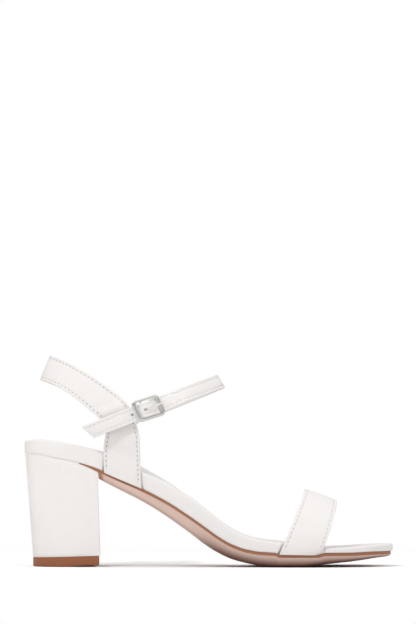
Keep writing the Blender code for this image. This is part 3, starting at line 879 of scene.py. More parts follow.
@once
def lining_leather(colours):
    """Matt lining leather with fine pores."""
    finish = Finish("lining_leather")
    mottle = finish.noise(60.0, 3.0)
    pores = finish.noise(2600.0)
    worn = finish.mark("rim") * 0.30 + mottle * 0.20
    colour = worn.between(0.0, 1.0).mix(tone(colours.lining), tone(colours.leather_wear_and_shade))
    return finish.paint(colour, 0.52 + mottle * 0.12, pores, relief=0.00005, strength=0.4)


@once
def sock_leather(colours):
    """Matt leather of the sock on the insole."""
    finish = Finish("sock_leather")
    mottle = finish.noise(50.0, 3.0)
    pores = finish.noise(2400.0)
    colour = mottle.shades(colours.sock, 1.04, 0.95)
    return finish.paint(colour, 0.50 + mottle * 0.12, pores, relief=0.00005, strength=0.4)


@once
def sole_rubber(colours):
    """Tan moulded rubber with fine hatching, brown on its edge band, pebbled and dark underneath, its
    lower face darkened by painted shade near the floor.
    """
    finish = Finish("sole_rubber")
    depth = finish.mark("depth")
    streaks = finish.noise(900.0, 3.0, finish.mapped(scale=(0.12, 0.5, 1.0)))
    mottle = finish.noise(55.0, 3.0)
    hatch = finish.lines(0.00085, 0.6)
    worn = (mottle * 0.5 + streaks * 0.2 + hatch * 0.3).between(0.0, 1.0)
    tan = worn.shades(colours.sole, 1.04, 0.88)
    # Dark underside, and painted shade on the lower face where it comes near the floor.
    tan = depth.step(0.0, 0.9).mix(tan, tone(colours.sole_underside_and_floor_shade))
    brown = streaks.shades(colours.sole_edge, 1.12, 0.86)
    colour = finish.mark("band").step(0.3, 0.7).mix(tan, brown)
    pebbles = finish.cells(900.0) * depth.step(0.5, 1.0) + streaks * 0.3 + hatch * 0.3
    return finish.paint(colour, 0.46 + streaks * 0.14, pebbles, relief=0.00012, strength=0.4)


@once
def tip_rubber(colours):
    """Streaky brown rubber of the heel's top piece."""
    finish = Finish("tip_rubber")
    streaks = finish.noise(700.0, 3.0, finish.mapped(scale=(0.15, 0.3, 1.0)))
    colour = streaks.shades(colours.tip, 1.12, 0.84)
    return finish.paint(colour, 0.40 + streaks * 0.16, streaks, relief=0.00008, strength=0.3)


@once
def polished_nickel(colours):
    """Bright plate with faint scratches, painted dark where the frame turns inwards as shade and
    reflection.
    """
    finish = Finish("polished_nickel", metallic=1.0)
    haze = finish.noise(350.0, 3.0)
    scratches = finish.noise(5200.0, place=finish.mapped(scale=(0.08, 1.0, 1.0)))
    colour = haze.shades(colours.metal, 1.0, 0.88)
    # Painted shade and dark reflection along the frame's inner edge.
    colour = finish.mark("inner").mix(colour, tone(colours.metal_painted_shade))
    roughness = 0.10 + haze * 0.12 + scratches * 0.06
    return finish.paint(colour, roughness, scratches, relief=0.000008, strength=0.3)


@once
def satin_nickel(colours):
    """Pale, hazy plate of the prong."""
    finish = Finish("satin_nickel", metallic=0.5)
    haze = finish.noise(500.0, 3.0)
    colour = haze.shades(colours.prong, 1.0, 0.94)
    return finish.paint(colour, 0.36 + haze * 0.12, haze, relief=0.00001, strength=0.3)


@once
def white_thread(colours):
    """Fibrous stitching thread."""
    finish = Finish("white_thread")
    fibres = finish.noise(3800.0)
    colour = fibres.shades(colours.thread, 1.0, 0.90)
    return finish.paint(colour, 0.62 + fibres * 0.16, fibres, relief=0.00005, strength=0.5)


@once
def needle_pit(colours):
    """Painted shade: dark discs for the needle holes and dark walls for the punched holes, with random
    speckle.
    """
    finish = Finish("needle_pit")
    speckle = finish.noise(2400.0)
    colour = speckle.shades(colours.pit, 1.0, 1.5)
    return finish.paint(colour, 0.80 + speckle * 0.15, speckle, relief=0.00003, strength=0.3)


def creased(creases, s, u):
    """Height that the hand-set creases add to a strap, in millimetres."""
    total = 0.0 * s * u
    for along, across, along_reach, across_reach, depth in creases:
        away = ((s - along) / along_reach) ** 2 + ((u - across) / across_reach) ** 2
        total = total + depth * np.exp(-away)
    return total


def strap_cut(wall, puff):
    """Columns of a strap's cross-section, out over its face and back along its lining.

    A point lies at a distance plus a share of the width from the lower edge, at a level.
    """
    inset, level, sink, worn = map(STRAP_EDGE.column, ("inset", "level", "sink", "rim"))
    face = 0.5 * wall * level - sink
    back = 0.5 * sink - 0.5 * wall * level
    middle = between(0.0, 1.0, ACROSS["strap"])
    arch = puff * 4.0 * middle * (1.0 - middle)
    gap = inset[-1] * (1.0 - 2.0 * middle)
    none, full, plain = np.zeros_like(inset), np.ones_like(inset), np.zeros_like(middle)
    first = 1.0 * (np.arange(len(inset)) == 0)

    def round_strap(low, face_middle, high, back_high, back_middle, back_low):
        return np.concatenate((low, face_middle, high[::-1], back_high[1:], back_middle, back_low[:0:-1]))

    return {
        "distance": round_strap(inset, gap, -inset, -inset, -gap, inset),
        "share": round_strap(none, middle, full, full, 1.0 - middle, none),
        "level": round_strap(face, face[-1] + arch, face, back, back[-1] + plain, back),
        "rim": round_strap(worn, plain, worn, worn, plain, worn),
        # The seam mark darkens the sunk stitch grooves: painted shade.
        "seam": round_strap(sink, plain, sink, sink, plain, sink).clip(0.0) * SEAM_SHADE_GAIN,
        "lining": round_strap(none, plain, first, full, 1.0 + plain, full),
    }


def strap(name, form, wall, stations, creases, materials, puff=0.15, thin_end=False):
    """A strap of face leather and lining about its middle surface, its edges rolled and worn."""
    s = np.linspace(0.0, 1.0, stations)
    thinner = np.ones(stations)
    if thin_end:
        s = np.append(s[:-1], 1.0 - TAIL_ROUND.column("step_back") / stations)
        thinner = np.append(thinner[:-1], TAIL_ROUND.column("wall"))
    s = s[:, None]
    cut = strap_cut(wall, puff)
    u = cut["share"] + cut["distance"] / strap_width(form, s)
    level = cut["level"] * thinner[:, None] + creased(creases, s, u)
    sections = form(s, u) + outward(form, s, u) * level[..., None]
    marks = {"rim": cut["rim"], "seam": cut["seam"]}
    slots = cut["lining"].astype(int)
    return skin(name, sections, materials, slots=slots, marks=marks, sharp=STRAP_SHARP)


def across_sole(x, axis, half, side, height):
    """Points inside each section, from the outer edge to the inner one."""
    x = x[:, None] + 0.0 * side
    return np.stack((x, axis[:, None] + half[:, None] * side, height(x, side)), axis=-1)


def round_section(outer, across, inner, back):
    """Values once round each section: outer wall, across to the inner wall, along it, and back."""
    return np.concatenate((outer, across, inner[:, ::-1], back[:, ::-1]), axis=1)


def toe_edges(z, inner):
    """Where the toe strap's back and front edges run at a height, on the outer (0) or inner (1) side."""
    sides = []
    for (_, foot_x, crown_x, crown_z), power in zip(TOE_STRAP.rows, (TOE_LEAN_BACK, TOE_LEAN_FRONT)):
        forward = foot_x + TOE_FORWARD * inner
        foot_z = feather(forward) - STRAP_TUCK
        rise = np.clip((z - foot_z) / (crown_z - foot_z), 0.0, 1.0)
        sides.append(forward + (crown_x - foot_x) * rise ** power)
    return sides


def heel_edges(row, inner):
    """Where the heel strap's back and front edges stand near its foot, on the outer or inner side."""
    return (COUNTER.column(name)[row] - INNER_FOOT_BACK * inner for name in ("lower_x", "upper_x"))


def over(x, back, front, soft):
    """1 from a back edge to a front one, falling softly to 0 outside them."""
    return ramp(x, back - soft, back) * (1.0 - ramp(x, front, front + soft))


def strap_cover(x, z, inner, soft=1.0):
    """How far the toe and heel straps cover the outer (0) or inner (1) edge of the sole at a place."""
    back, front = toe_edges(z, inner)
    toe = over(x, back - TOE_GROOVE, front + TOE_GROOVE, soft)
    back, front = heel_edges(1, inner)
    return toe, over(x, back, front, soft)


def strap_dip(x, inner):
    """How far the sole's edge dips to take the foot of the toe strap, in millimetres."""
    toe, _ = strap_cover(x, feather(x), inner, DIP_REACH)
    early, _ = strap_cover(x + DIP_EARLY, feather(x), inner, DIP_REACH + DIP_EARLY)
    return STRAP_TUCK * toe * early


def seam_shade_paint(x, z, to_rim, inner):
    """Painted shade on the insole's edge where the straps go in, most at its lower corner, with the toe
    strap's painted shadow on the rim ahead of it.
    """
    low = 1.0 - to_rim
    back, front = toe_edges(z, inner)
    beside = np.exp(-((x - back + SEAM_REACH) / SEAM_REACH) ** 2)
    # Painted shadow of the toe strap on the rim, fading ahead of its front edge.
    ahead = (x > front) * (1.0 - np.clip((x - front) / TOE_SHADE, 0.0, 1.0))
    dark = beside * (TOE_SEAM_EVEN + TOE_SEAM_LOW * low ** 2)
    dark = dark + TOE_SHADE_DARK * ahead * ramp(to_rim, *TOE_SHADE_RIM)
    # Painted shade beside the heel strap's feet, low on the wall.
    for seam, way in zip(heel_edges(0, inner), (-1.0, 1.0)):
        beside = np.exp(-((x - seam - way * HEEL_SEAM_OUT) / SEAM_REACH) ** 2)
        dark = dark + HEEL_SEAM_DARK * beside * low ** 4
    return dark


def insole_wall(along, inset, rise, sink, to_middle, side):
    """The insole's outer (-1) or inner (1) wall, set back behind the straps, and its painted seam shade.
    """
    on_inner = 0.5 + 0.5 * side
    plain_x = edge(along, inset)[0]
    low, high = feather(plain_x), rim(plain_x)
    z = low + rise * (footbed(plain_x, side * to_middle) - low) - sink
    to_rim = np.clip((z - low) / (high - low), 0.0, 1.0)
    behind_strap = STRAP_CLEARANCE - STRAP_STAND_OFF + STRAP_DRAW_IN * (1.0 - to_rim) ** 2
    cover = np.maximum(*strap_cover(plain_x, z, on_inner))
    x, axis, half = edge(along, inset + cover * np.clip(behind_strap - inset, 0.0, None))
    z = z - (1.0 - rise) ** 2 * strap_dip(plain_x, on_inner)
    return np.stack((x, axis + side * half, z), axis=-1), seam_shade_paint(plain_x, z, to_rim, on_inner)


def build_insole(colours):
    """Wrapped insole: its rolled edge, and the sock on its dished top."""
    along = spread_ends(SECTIONS["insole"])[:, None]
    inset, rise, sink = (INSOLE_EDGE.finer(name, EDGE_STEPS["insole"])[None, :]
                         for name in ("inset", "rise", "sink"))
    off_ends = np.clip(along, *OFF_ENDS)
    to_middle = np.clip(edge(off_ends, inset)[2] / edge(off_ends, RIM_INSET)[2], 0.0, 1.0)
    outer, outer_seam_shade = insole_wall(along, inset, rise, sink, to_middle, -1.0)
    inner, inner_seam_shade = insole_wall(along, inset, rise, sink, to_middle, 1.0)
    side = between(-1.0, 1.0, ACROSS["insole"])[None, :]
    x, axis, half = (part[:, -1] for part in edge(along, inset))
    top = across_sole(x, axis, half, side,
                      lambda at, across: footbed(at, across * to_middle[:, -1:]) - sink[0, -1])
    x, axis, half = (part[:, 0] for part in edge(along, inset))
    under = across_sole(x, axis, half, side[:, ::4], lambda at, across: feather(at))
    in_sock = inset[0] >= SOCK_INSET
    sock = np.concatenate((in_sock, np.ones(top.shape[1]), in_sock[:0:-1], np.zeros(1 + under.shape[1])))
    clean_top, clean_under = (np.zeros(part.shape[:2]) for part in (top, under))
    # Painted shade beside the straps, on the walls only.
    marks = {"grime": round_section(outer_seam_shade, clean_top, inner_seam_shade, clean_under)}
    piece = skin("wrapped_insole", round_section(outer, top, inner, under),
                 [white_leather(colours), sock_leather(colours)], slots=sock.astype(int), marks=marks)
    return seat(piece, "white_leather", "insole")


def sole_sections():
    """Shares of the length where the outsole is cut, and which of them lie in its tongue."""
    tongue = share_of(np.linspace(TONGUE_BACK, TONGUE_FRONT, SECTIONS["tongue"]))
    start = share_of(SOLE_STEP)
    rest = start + (1.0 - start) * spread_ends(SECTIONS["outsole"], back=False)
    along = np.concatenate((tongue, rest))[:, None]
    return along, np.arange(len(along))[:, None] < len(tongue)


def sole_insets(along, in_tongue, near_floor):
    """How far in from the outline the outsole's edge band and its rounded face lie, from the top down."""
    upright, rounded = (SOLE_EDGE.finer(name, EDGE_STEPS["outsole"]) for name in ("waist_inset", "inset"))
    square = 1.0 - TOE_SQUARE * ramp(along, TOE_SQUARE_FROM, 1.0)
    face = square * (upright + near_floor * (rounded - upright) - rounded[0])
    face = np.maximum(face, SOLE_BAND_INSETS[-1] * in_tongue)
    band = np.ones_like(along) * SOLE_BAND_INSETS
    return SOLE_INSET + np.concatenate((band, face), axis=1) - TONGUE_PROUD * in_tongue


def sole_brown(along, in_tongue, face_points):
    """How brown the outsole is: its edge band and its tongue fully, and its back end in part."""
    band = np.concatenate((np.ones(len(SOLE_BAND_INSETS)), np.zeros(face_points)))[None, :]
    back_end = 1.0 - ramp(place_of(along) - SOLE_STEP, *BROWN_END)
    return np.maximum(np.maximum(band, in_tongue), BROWN_SHARE * back_end)


def build_outsole(colours):
    """Moulded outsole: its brown edge band, its rounded underside and the tongue under the heel seat."""
    along, in_tongue = sole_sections()
    near_floor = 1.0 - ramp(sole_underside(place_of(along), False), LOW_TREAD, HIGH_TREAD)
    face_depth = SOLE_EDGE.finer("depth", EDGE_STEPS["outsole"])
    depth = np.concatenate((np.zeros(len(SOLE_BAND_INSETS)), face_depth))[None, :]
    band_share = np.concatenate((SOLE_BAND_SHARES, np.ones_like(face_depth)))[None, :]
    x, axis, half = edge(along, sole_insets(along, in_tongue, near_floor))
    x = x - TOE_SETBACK * ramp(along, TOE_SETBACK_FROM, 1.0)
    bottom = sole_underside(x, in_tongue)
    walls = []
    for side in (-1.0, 1.0):
        top = feather(x) - JOINT - strap_dip(x, 0.5 + 0.5 * side)
        band = np.where(in_tongue, top - bottom, np.minimum(SOLE_BAND, THIN_BAND * (top - bottom)))
        z = top - band_share * band - depth * (top - band - bottom)
        walls.append(np.stack((x, axis + side * half, z), axis=-1))
    outer, inner = walls
    side = between(-1.0, 1.0, ACROSS["outsole"])[None, :]
    crown = across_sole(x[:, 0], axis[:, 0], half[:, 0], side,
                        lambda at, across: feather(at) - JOINT - STRAP_TUCK)
    under = across_sole(x[:, -1], axis[:, -1], half[:, -1], side,
                        lambda at, across: sole_underside(at, in_tongue))
    brown = sole_brown(along, in_tongue, len(face_depth))
    # The lower face darkens only where it comes near the floor: painted shade. The underside is dark all
    # over.
    depth = near_floor * depth
    flat = np.ones(under.shape[:2])
    marks = {
        "band": round_section(brown, in_tongue * flat, brown, flat),
        "depth": round_section(depth, flat, depth, 0.0 * flat),
    }
    piece = skin("moulded_outsole", round_section(outer, under, inner, crown), [sole_rubber(colours)],
                 marks=marks, sharp=SOLE_SHARP)
    return seat(piece, "tan_rubber", "outsole")


def breast_round(distance, half):
    """Half width with the corner beside the heel's breast rounded off."""
    left = np.clip(BREAST_ROUND - distance, 0.0, BREAST_ROUND)
    return half - (BREAST_ROUND - np.sqrt(BREAST_ROUND ** 2 - left ** 2))


def tip_share(x):
    """Share of the heel's foot at a place, from its back to its breast."""
    return (x - HEEL_FOOT_BACK) / (BREAST_BOTTOM - HEEL_FOOT_BACK)


def tip_top(x):
    """Height of the top piece's upper face, which rises a little towards the breast."""
    return TIP_HEIGHT + TIP_RISE * (tip_share(x) - TIP_LEVEL_AT)


def tip_bottom(x):
    """Height of the top piece's under face: flat behind and a little off the floor at the breast."""
    return TIP_LIFT * ramp(tip_share(x), TIP_FLAT, 1.0)


def heel_seat(x):
    """Height of the heel's seat, let down where the outsole's tongue lies on it."""
    tongue_end = TONGUE_BACK - JOINT
    lowered = ramp(x, tongue_end - SEAT_STEP, tongue_end)
    return feather(x) + lowered * (sole_underside(x, True) - feather(x)) - JOINT


def heel_outline(x, axis, half, turn):
    """Outline of the heel at one level: outer wall, hollowed and turned breast, and inner wall."""
    half = breast_round(x[-1] - x, half)
    side = between(-1.0, 1.0, ACROSS["breast"])
    breast_x = x[-1] - BREAST_HOLLOW * (1.0 - side ** 2) - turn[-1] * (0.5 + 0.5 * side)
    outline_x = np.concatenate((x, breast_x, (x - turn)[::-1]))
    outline_y = np.concatenate((axis - half, axis[-1] + half[-1] * side, (axis + half)[::-1]))
    return np.stack((outline_x, outline_y), axis=-1)


def stacked(name, outlines, heights, materials):
    """A body through outlines at growing heights, closed at both ends by shrunken copies."""
    factors = (0.02, 0.3, 0.7)
    ends = []
    for end in (0, -1):
        middle = outlines[end].mean(axis=0)
        ends.append([(middle + (outlines[end] - middle) * factor, heights[end]) for factor in factors])
    levels = ends[0] + list(zip(outlines, heights)) + ends[1][::-1]
    sections = [np.column_stack((outline, height(outline[:, 0]))) for outline, height in levels]
    return skin(name, np.array(sections), materials, sharp=SOLE_SHARP)


def build_heel(colours):
    """Covered block heel, from its D-shaped foot up to the seat, and the top piece under it."""
    corner = np.linspace(1.0, 0.0, SECTIONS["heel_corner"]) ** 2 * BREAST_ROUND
    corner = 1.0 - corner / (BREAST_BOTTOM - HEEL_FOOT_BACK)
    share = np.sort(np.concatenate((spread_ends(SECTIONS["heel"], front=False)[:-1], corner)))
    back = SEAT_INSET - 0.5 * LENGTH
    seat_x = back + (BREAST_TOP - back) * share
    _, axis, seat_half = edge(share_of(seat_x - SEAT_INSET * (1.0 - share)), SEAT_INSET)
    foot_half = HEEL_FOOT_HALF * end_round(share, HEEL_FOOT_REACH, HEEL_POWER)
    turn = BREAST_TURN * np.clip((share - BREAST_TURN_FROM) / (1.0 - BREAST_TURN_FROM), 0.0, 1.0)

    def outline(rise, inset, front):
        foot_x = HEEL_FOOT_BACK + (front - HEEL_FOOT_BACK) * share
        half = (foot_half + rise * (seat_half - foot_half)) * (1.0 - inset / HEEL_FOOT_HALF)
        x = foot_x + rise * (seat_x - foot_x)
        return heel_outline(x + inset * (1.0 - 2.0 * share), axis * rise, half, turn)

    def cover_height(rise):
        return lambda x: tip_top(x) + JOINT + rise * (heel_seat(x) - tip_top(x) - JOINT)

    def tip_height(level):
        return lambda x: tip_bottom(x) + level * (tip_top(x) - tip_bottom(x))

    rises = np.concatenate(((0.0,), np.linspace(*COVER_SPAN, SECTIONS["cover"]), (1.0,)))
    insets = np.zeros_like(rises)
    insets[[0, -1]] = COVER_ROUND
    outlines = [outline(rise, inset, BREAST_BOTTOM) for rise, inset in zip(rises, insets)]
    heights = [cover_height(rise) for rise in rises]
    cover = stacked("covered_heel", outlines, heights, [white_leather(colours)])
    seat(cover, "white_leather", "heel_block")

    outlines = [outline(0.0, inset, TIP_FRONT) for inset in TIP_EDGE.column("inset")]
    heights = [tip_height(level) for level in TIP_EDGE.column("level")]
    tip = stacked("heel_top_piece", outlines, heights, [tip_rubber(colours)])
    return seat(tip, "brown_rubber", "heel_tip")


def punch(span, half, colours):
    """Oval cutter that passes out through the ankle strap or the tab and leaves a wall painted dark as
    shade.
    """
    front, back, inner, outer = span
    angle = full_turn(32)
    straight = 0.5 * (front - back) - half
    place = 0.5 * (front + back) + half * np.cos(angle) + straight * np.sign(np.cos(angle))
    across = half * np.sin(angle)
    ends = np.stack((on_ankle(place, inner, across), on_ankle(place, outer, across)))
    return skin("cutter", ends, [needle_pit(colours)])


def cut_holes(piece, sharp, *cutters):
    """Cut punched holes right through a piece, and shade it smooth up to an angle again."""
    for cutter in cutters:
        step = piece.modifiers.new("hole", "BOOLEAN")
        step.operation = "DIFFERENCE"
        step.material_mode = "TRANSFER"
        step.object = cutter
    weld(plain_mesh(piece).data, sharp)
    for cutter in cutters:
        bpy.data.objects.remove(cutter, do_unlink=True)


def plain_mesh(piece):
    """Turn a piece and its modifiers into a plain mesh."""
    evaluated = piece.evaluated_get(bpy.context.evaluated_depsgraph_get())
    mesh = bpy.data.meshes.new_from_object(evaluated)
    mesh.name = piece.name
    piece.modifiers.clear()
    piece.data = mesh
    return piece


def build_toe_strap(colours, sizes):
    """The band over the toes."""
    materials = [white_leather(colours), lining_leather(colours)]
    piece = strap("toe_strap_leather", toe_strap, sizes.strap_wall / MM, SECTIONS["toe_strap"],
                  TOE_CREASES, materials)
    return seat(piece, "white_leather", "toe_strap")


def build_heel_and_ankle_strap(colours, sizes):
    """The strap round the back of the foot, and the punched ankle strap that is sewn to it."""
    materials = [white_leather(colours), lining_leather(colours)]
    piece = strap("heel_strap_leather", heel_strap, sizes.strap_wall / MM, SECTIONS["heel_strap"],
                  HEEL_CREASES, materials)
    seat(piece, "white_leather", "heel_and_ankle_strap")
    piece = strap("ankle_strap_leather", ankle_strap, sizes.ankle_wall / MM, SECTIONS["ankle_strap"],
                  ANKLE_CREASES, materials, puff=0.06, thin_end=True)
    holes = [punch(PUNCHES[name], PUNCH_HALF, colours) for name in ("prong_hole", "spare_hole")]
    cut_holes(piece, STRAP_SHARP, *holes)
    return seat(piece, "white_leather")


# A length past the end of every path, in metres.
LONGEST_PATH = 10.0


class Tree:
    """A Geometry Nodes tree in the making. Its inputs are named lengths and a material."""

    def __init__(self, name, *lengths):
        self.group = bpy.data.node_groups.new(name, "GeometryNodeTree")
        self.node = Wire(self.group).node
        kinds = {"Geometry": "NodeSocketGeometry", **dict.fromkeys(lengths, "NodeSocketFloat"),
                 "Material": "NodeSocketMaterial"}
        self.identifiers = {}
        for label, kind in kinds.items():
            socket = self.group.interface.new_socket(label, in_out="INPUT", socket_type=kind)
            self.identifiers[label] = socket.identifier
        self.group.interface.new_socket("Geometry", in_out="OUTPUT", socket_type=kinds["Geometry"])
        outputs = self.group.nodes.new("NodeGroupInput").outputs
        self.inputs = {label: Wire(self.group, outputs[label]) for label in kinds}

    def paths(self):
        """The paths that come in."""
        return self.node("GeometryNodeMeshToCurve", None, {0: self.inputs["Geometry"]})

    def drawn(self, path, sides):
        """A closed wire with so many sides, drawn along a path."""
        cut = self.node("GeometryNodeCurvePrimitiveCircle", None,
                        {"Resolution": sides, "Radius": self.inputs["Radius"]})
        return self.node("GeometryNodeCurveToMesh", None,
                         {"Curve": path, "Profile Curve": cut, "Fill Caps": True})

    def set_along(self, shape):
        """A shape at even steps along the paths, its X along them and its Z out of the leather."""
        rest = self.node("GeometryNodeTrimCurve", {"mode": "LENGTH"},
                         {0: self.paths(), 4: self.inputs["Start"], 5: LONGEST_PATH})
        steps = self.node("GeometryNodeResampleCurve", {"mode": "LENGTH"},
                          {0: rest, "Length": self.inputs["Pitch"]})
        tangent = self.node("GeometryNodeInputTangent")
        up = self.node("GeometryNodeInputNamedAttribute", {"data_type": "FLOAT_VECTOR"}, {"Name": "up"})
        turn = self.node("FunctionNodeAlignRotationToVector", {"axis": "X"}, {"Vector": tangent})
        turn = self.node("FunctionNodeAlignRotationToVector", {"axis": "Z", "pivot_axis": "X"},
                         {"Rotation": turn, "Vector": up})
        return self.node("GeometryNodeInstanceOnPoints", None,
                         {"Points": steps, "Instance": shape, "Rotation": turn})

    def end(self, geometry):
        """Close the tree: real, smooth geometry with its material."""
        real = self.node("GeometryNodeRealizeInstances", None, {0: geometry})
        smoothed = self.node("GeometryNodeSetShadeSmooth", None, {0: real})
        covered = self.node("GeometryNodeSetMaterial", None,
                            {0: smoothed, "Material": self.inputs["Material"]})
        self.group.links.new(covered.socket, self.group.nodes.new("NodeGroupOutput").inputs[0])
        return self

    def grow(self, name, mesh, **values):
        """Run the tree on a mesh and keep the result as a plain piece."""
        piece = new_object(name, mesh, [])
        step = piece.modifiers.new(name, "NODES")
        step.node_group = self.group
        for label, value in values.items():
            step[self.identifiers[label]] = value
        return plain_mesh(piece)


def stitch_tree():
    """Short bent threads set along paths, square to the leather."""
    tree = Tree("stitch_row", "Pitch", "Start", "Length", "Radius", "Rise")
    reach, rise = tree.inputs["Length"], tree.inputs["Rise"]
    back, front = (tree.node("ShaderNodeCombineXYZ", None, {"X": reach * share, "Z": rise * -1.0})
                   for share in (-0.5, 0.5))
    crest = tree.node("ShaderNodeCombineXYZ", None, {"Z": rise})
    thread = tree.node("GeometryNodeCurveQuadraticBezier", None,
                       {"Resolution": 5, "Start": back, "Middle": crest, "End": front})
    return tree.end(tree.set_along(tree.drawn(thread, 6)))


def hole_tree():
    """Small dark discs set along paths, flush with the leather, as painted shade of needle holes."""
    tree = Tree("needle_hole_row", "Pitch", "Start", "Radius", "Depth")
    disc = tree.node("GeometryNodeMeshCylinder", None,
                     {"Vertices": 10, "Radius": tree.inputs["Radius"], "Depth": tree.inputs["Depth"]})
    return tree.end(tree.set_along(disc))


def wire_tree():
    """A round wire drawn along a path."""
    tree = Tree("drawn_wire", "Radius")
    return tree.end(tree.drawn(tree.paths(), 20))


def path_mesh(name, runs):
    """Open or closed paths as the edges of a mesh, with the leather's outward way at each point."""
    points, ups, edges = [], [], []
    for run, up, closed in runs:
        first = sum(len(part) for part in points)
        index = np.arange(first, first + len(run))
        edges += np.stack((index[:-1], index[1:]), axis=1).tolist()
        if closed:
            edges.append([int(index[-1]), int(index[0])])
        points.append(run)
        ups.append(np.broadcast_to(up, run.shape))
    mesh = bpy.data.meshes.new(name)
    mesh.from_pydata(metres(np.concatenate(points)).tolist(), edges, [])
    layer = mesh.attributes.new("up", "FLOAT_VECTOR", "POINT")
    layer.data.foreach_set("vector", np.concatenate(ups).astype(np.float32).ravel())
    return mesh


def on_leather(form, creases, wall, s, u, face):
    """Points just in the leather of a strap's face (1) or lining (-1), and its outward way there."""
    up = outward(form, s, u)
    height = face * (0.5 * wall - STITCH_SINK) + creased(creases, s, u)
    return form(s, u) + up * height[:, None], face * up


def stitch_rows(form, creases, wall, inset, spans):
    """The two stitch lines of a strap, on its face (1) and its lining (-1)."""
    rows = []
    for face, span in spans.items():
        s = np.linspace(*span, SECTIONS["stitch_row"])
        share = inset / strap_width(form, s)
        for u in (share, 1.0 - share):
            rows.append((*on_leather(form, creases, wall, s, u, face), False))
    return rows


def stitch_ring(form, creases, wall, inset, span):
    """One stitch line that runs right round the ankle strap, on its face and on its lining."""
    first, last = span
    low = inset / (2.0 * ANKLE_HALF)
    high = 1.0 - low
    along = np.linspace(first, last, SECTIONS["stitch_ring"])
    across = between(low, high, ACROSS["stitch_ring"])
    s = np.concatenate((along, last + 0.0 * across, along[::-1], first + 0.0 * across))
    u = np.concatenate((low + 0.0 * along, across, high + 0.0 * along, across[::-1]))
    return [(*on_leather(form, creases, wall, s, u, face), True) for face in (1.0, -1.0)]


def build_stitching(colours, sizes):
    """White threads along the straps, and dark discs between them that paint the shade of the needle
    holes.
    """
    wall, inset, pitch = sizes.strap_wall / MM, sizes.stitch_inset / MM, sizes.stitch_pitch
    fine_runs = stitch_rows(toe_strap, TOE_CREASES, wall, inset, TOE_STITCHES)
    fine_runs += stitch_ring(ankle_strap, ANKLE_CREASES, sizes.ankle_wall / MM, inset, ANKLE_STITCHES)
    heel_runs = stitch_rows(heel_strap, HEEL_CREASES, wall, inset, HEEL_STITCHES)
    lines = path_mesh("stitch_lines", fine_runs + heel_runs)
    threads = stitch_tree().grow("strap_stitches", lines, Pitch=pitch, Start=0.0,
                                 Length=sizes.stitch_length, Radius=sizes.thread_radius,
                                 Rise=sizes.thread_rise, Material=white_thread(colours))
    seat(threads, "white_leather")
    tree = hole_tree()
    for name, runs, radius in (("fine_needle_pits", fine_runs, sizes.fine_pit_radius),
                               ("heel_needle_pits", heel_runs, sizes.pit_radius)):
        pits = tree.grow(name, path_mesh(name, runs), Pitch=pitch, Start=0.5 * pitch, Radius=radius,
                         Depth=sizes.pit_depth, Material=needle_pit(colours))
        seat(pits, "white_leather")


def corner_arcs(corners, radius, closed):
    """Points of a path with rounded corners."""
    points = [] if closed else [corners[0]]
    count = len(corners)
    for index in range(count) if closed else range(1, count - 1):
        here = corners[index]
        to_last = unit(corners[index - 1] - here)
        to_next = unit(corners[(index + 1) % count] - here)
        for turn in np.linspace(0.0, 0.5 * np.pi, 11):
            way = to_last * (1.0 - np.sin(turn)) + to_next * (1.0 - np.cos(turn))
            points.append(here + radius * way)
    if not closed:
        points.append(corners[-1])
    return np.array(points)


def frame_out(place):
    """How far out the tilted frame lies at a place along the strap."""
    share = (place - FRAME_FRONT) / (FRAME_BACK - FRAME_FRONT)
    return FRAME_FRONT_OUT + share * (FRAME_BACK_OUT - FRAME_FRONT_OUT)


def frame_across(place):
    """How far across the strap the frame's corners lie, the lower two first, with the frame turned."""
    turned = FRAME_TURN * (place - 0.5 * (FRAME_FRONT + FRAME_BACK))
    return FRAME_LIFT + turned + FRAME_HALF * np.array((-1.0, -1.0, 1.0, 1.0))


def round_hinge(start, end):
    """Place and out of points on the curl round the hinge bar, between two angles in degrees."""
    angle = np.radians(np.linspace(start, end, SECTIONS["curl"]))
    return HINGE_PLACE + LOOP_RADIUS * np.cos(angle), HINGE_OUT + LOOP_RADIUS * np.sin(angle)


def steps_of(table, count):
    """Place and out of points along a table's curve."""
    row = np.linspace(0.0, table.rows[-1, 0], count)
    return table.at("place", row), table.at("out", row)


def joined(*runs):
    """Place and out of several runs, one after the other."""
    return (np.concatenate(part) for part in zip(*runs))


def strip(name, place, out, half, wall, materials, taper=None):
    """A flat strip with rounded edges that bends in the plane along the strap and out from it."""
    angle = full_turn(24)
    side = signed_power(np.cos(angle), STRIP_SQUARENESS)
    lift = signed_power(np.sin(angle), STRIP_SQUARENESS)
    taper = np.ones_like(place) if taper is None else taper
    path = on_ankle(place, out, 0.0)
    across = unit(on_ankle(0.0, 0.0, 1.0) - on_ankle(0.0, 0.0, 0.0))
    normal = unit(np.cross(across, np.gradient(path, axis=0)))
    sections = path[:, None] + taper[:, None, None] * (
        half * side[None, :, None] * across + 0.5 * wall * lift[None, :, None] * normal[:, None])
    return skin(name, sections, materials)


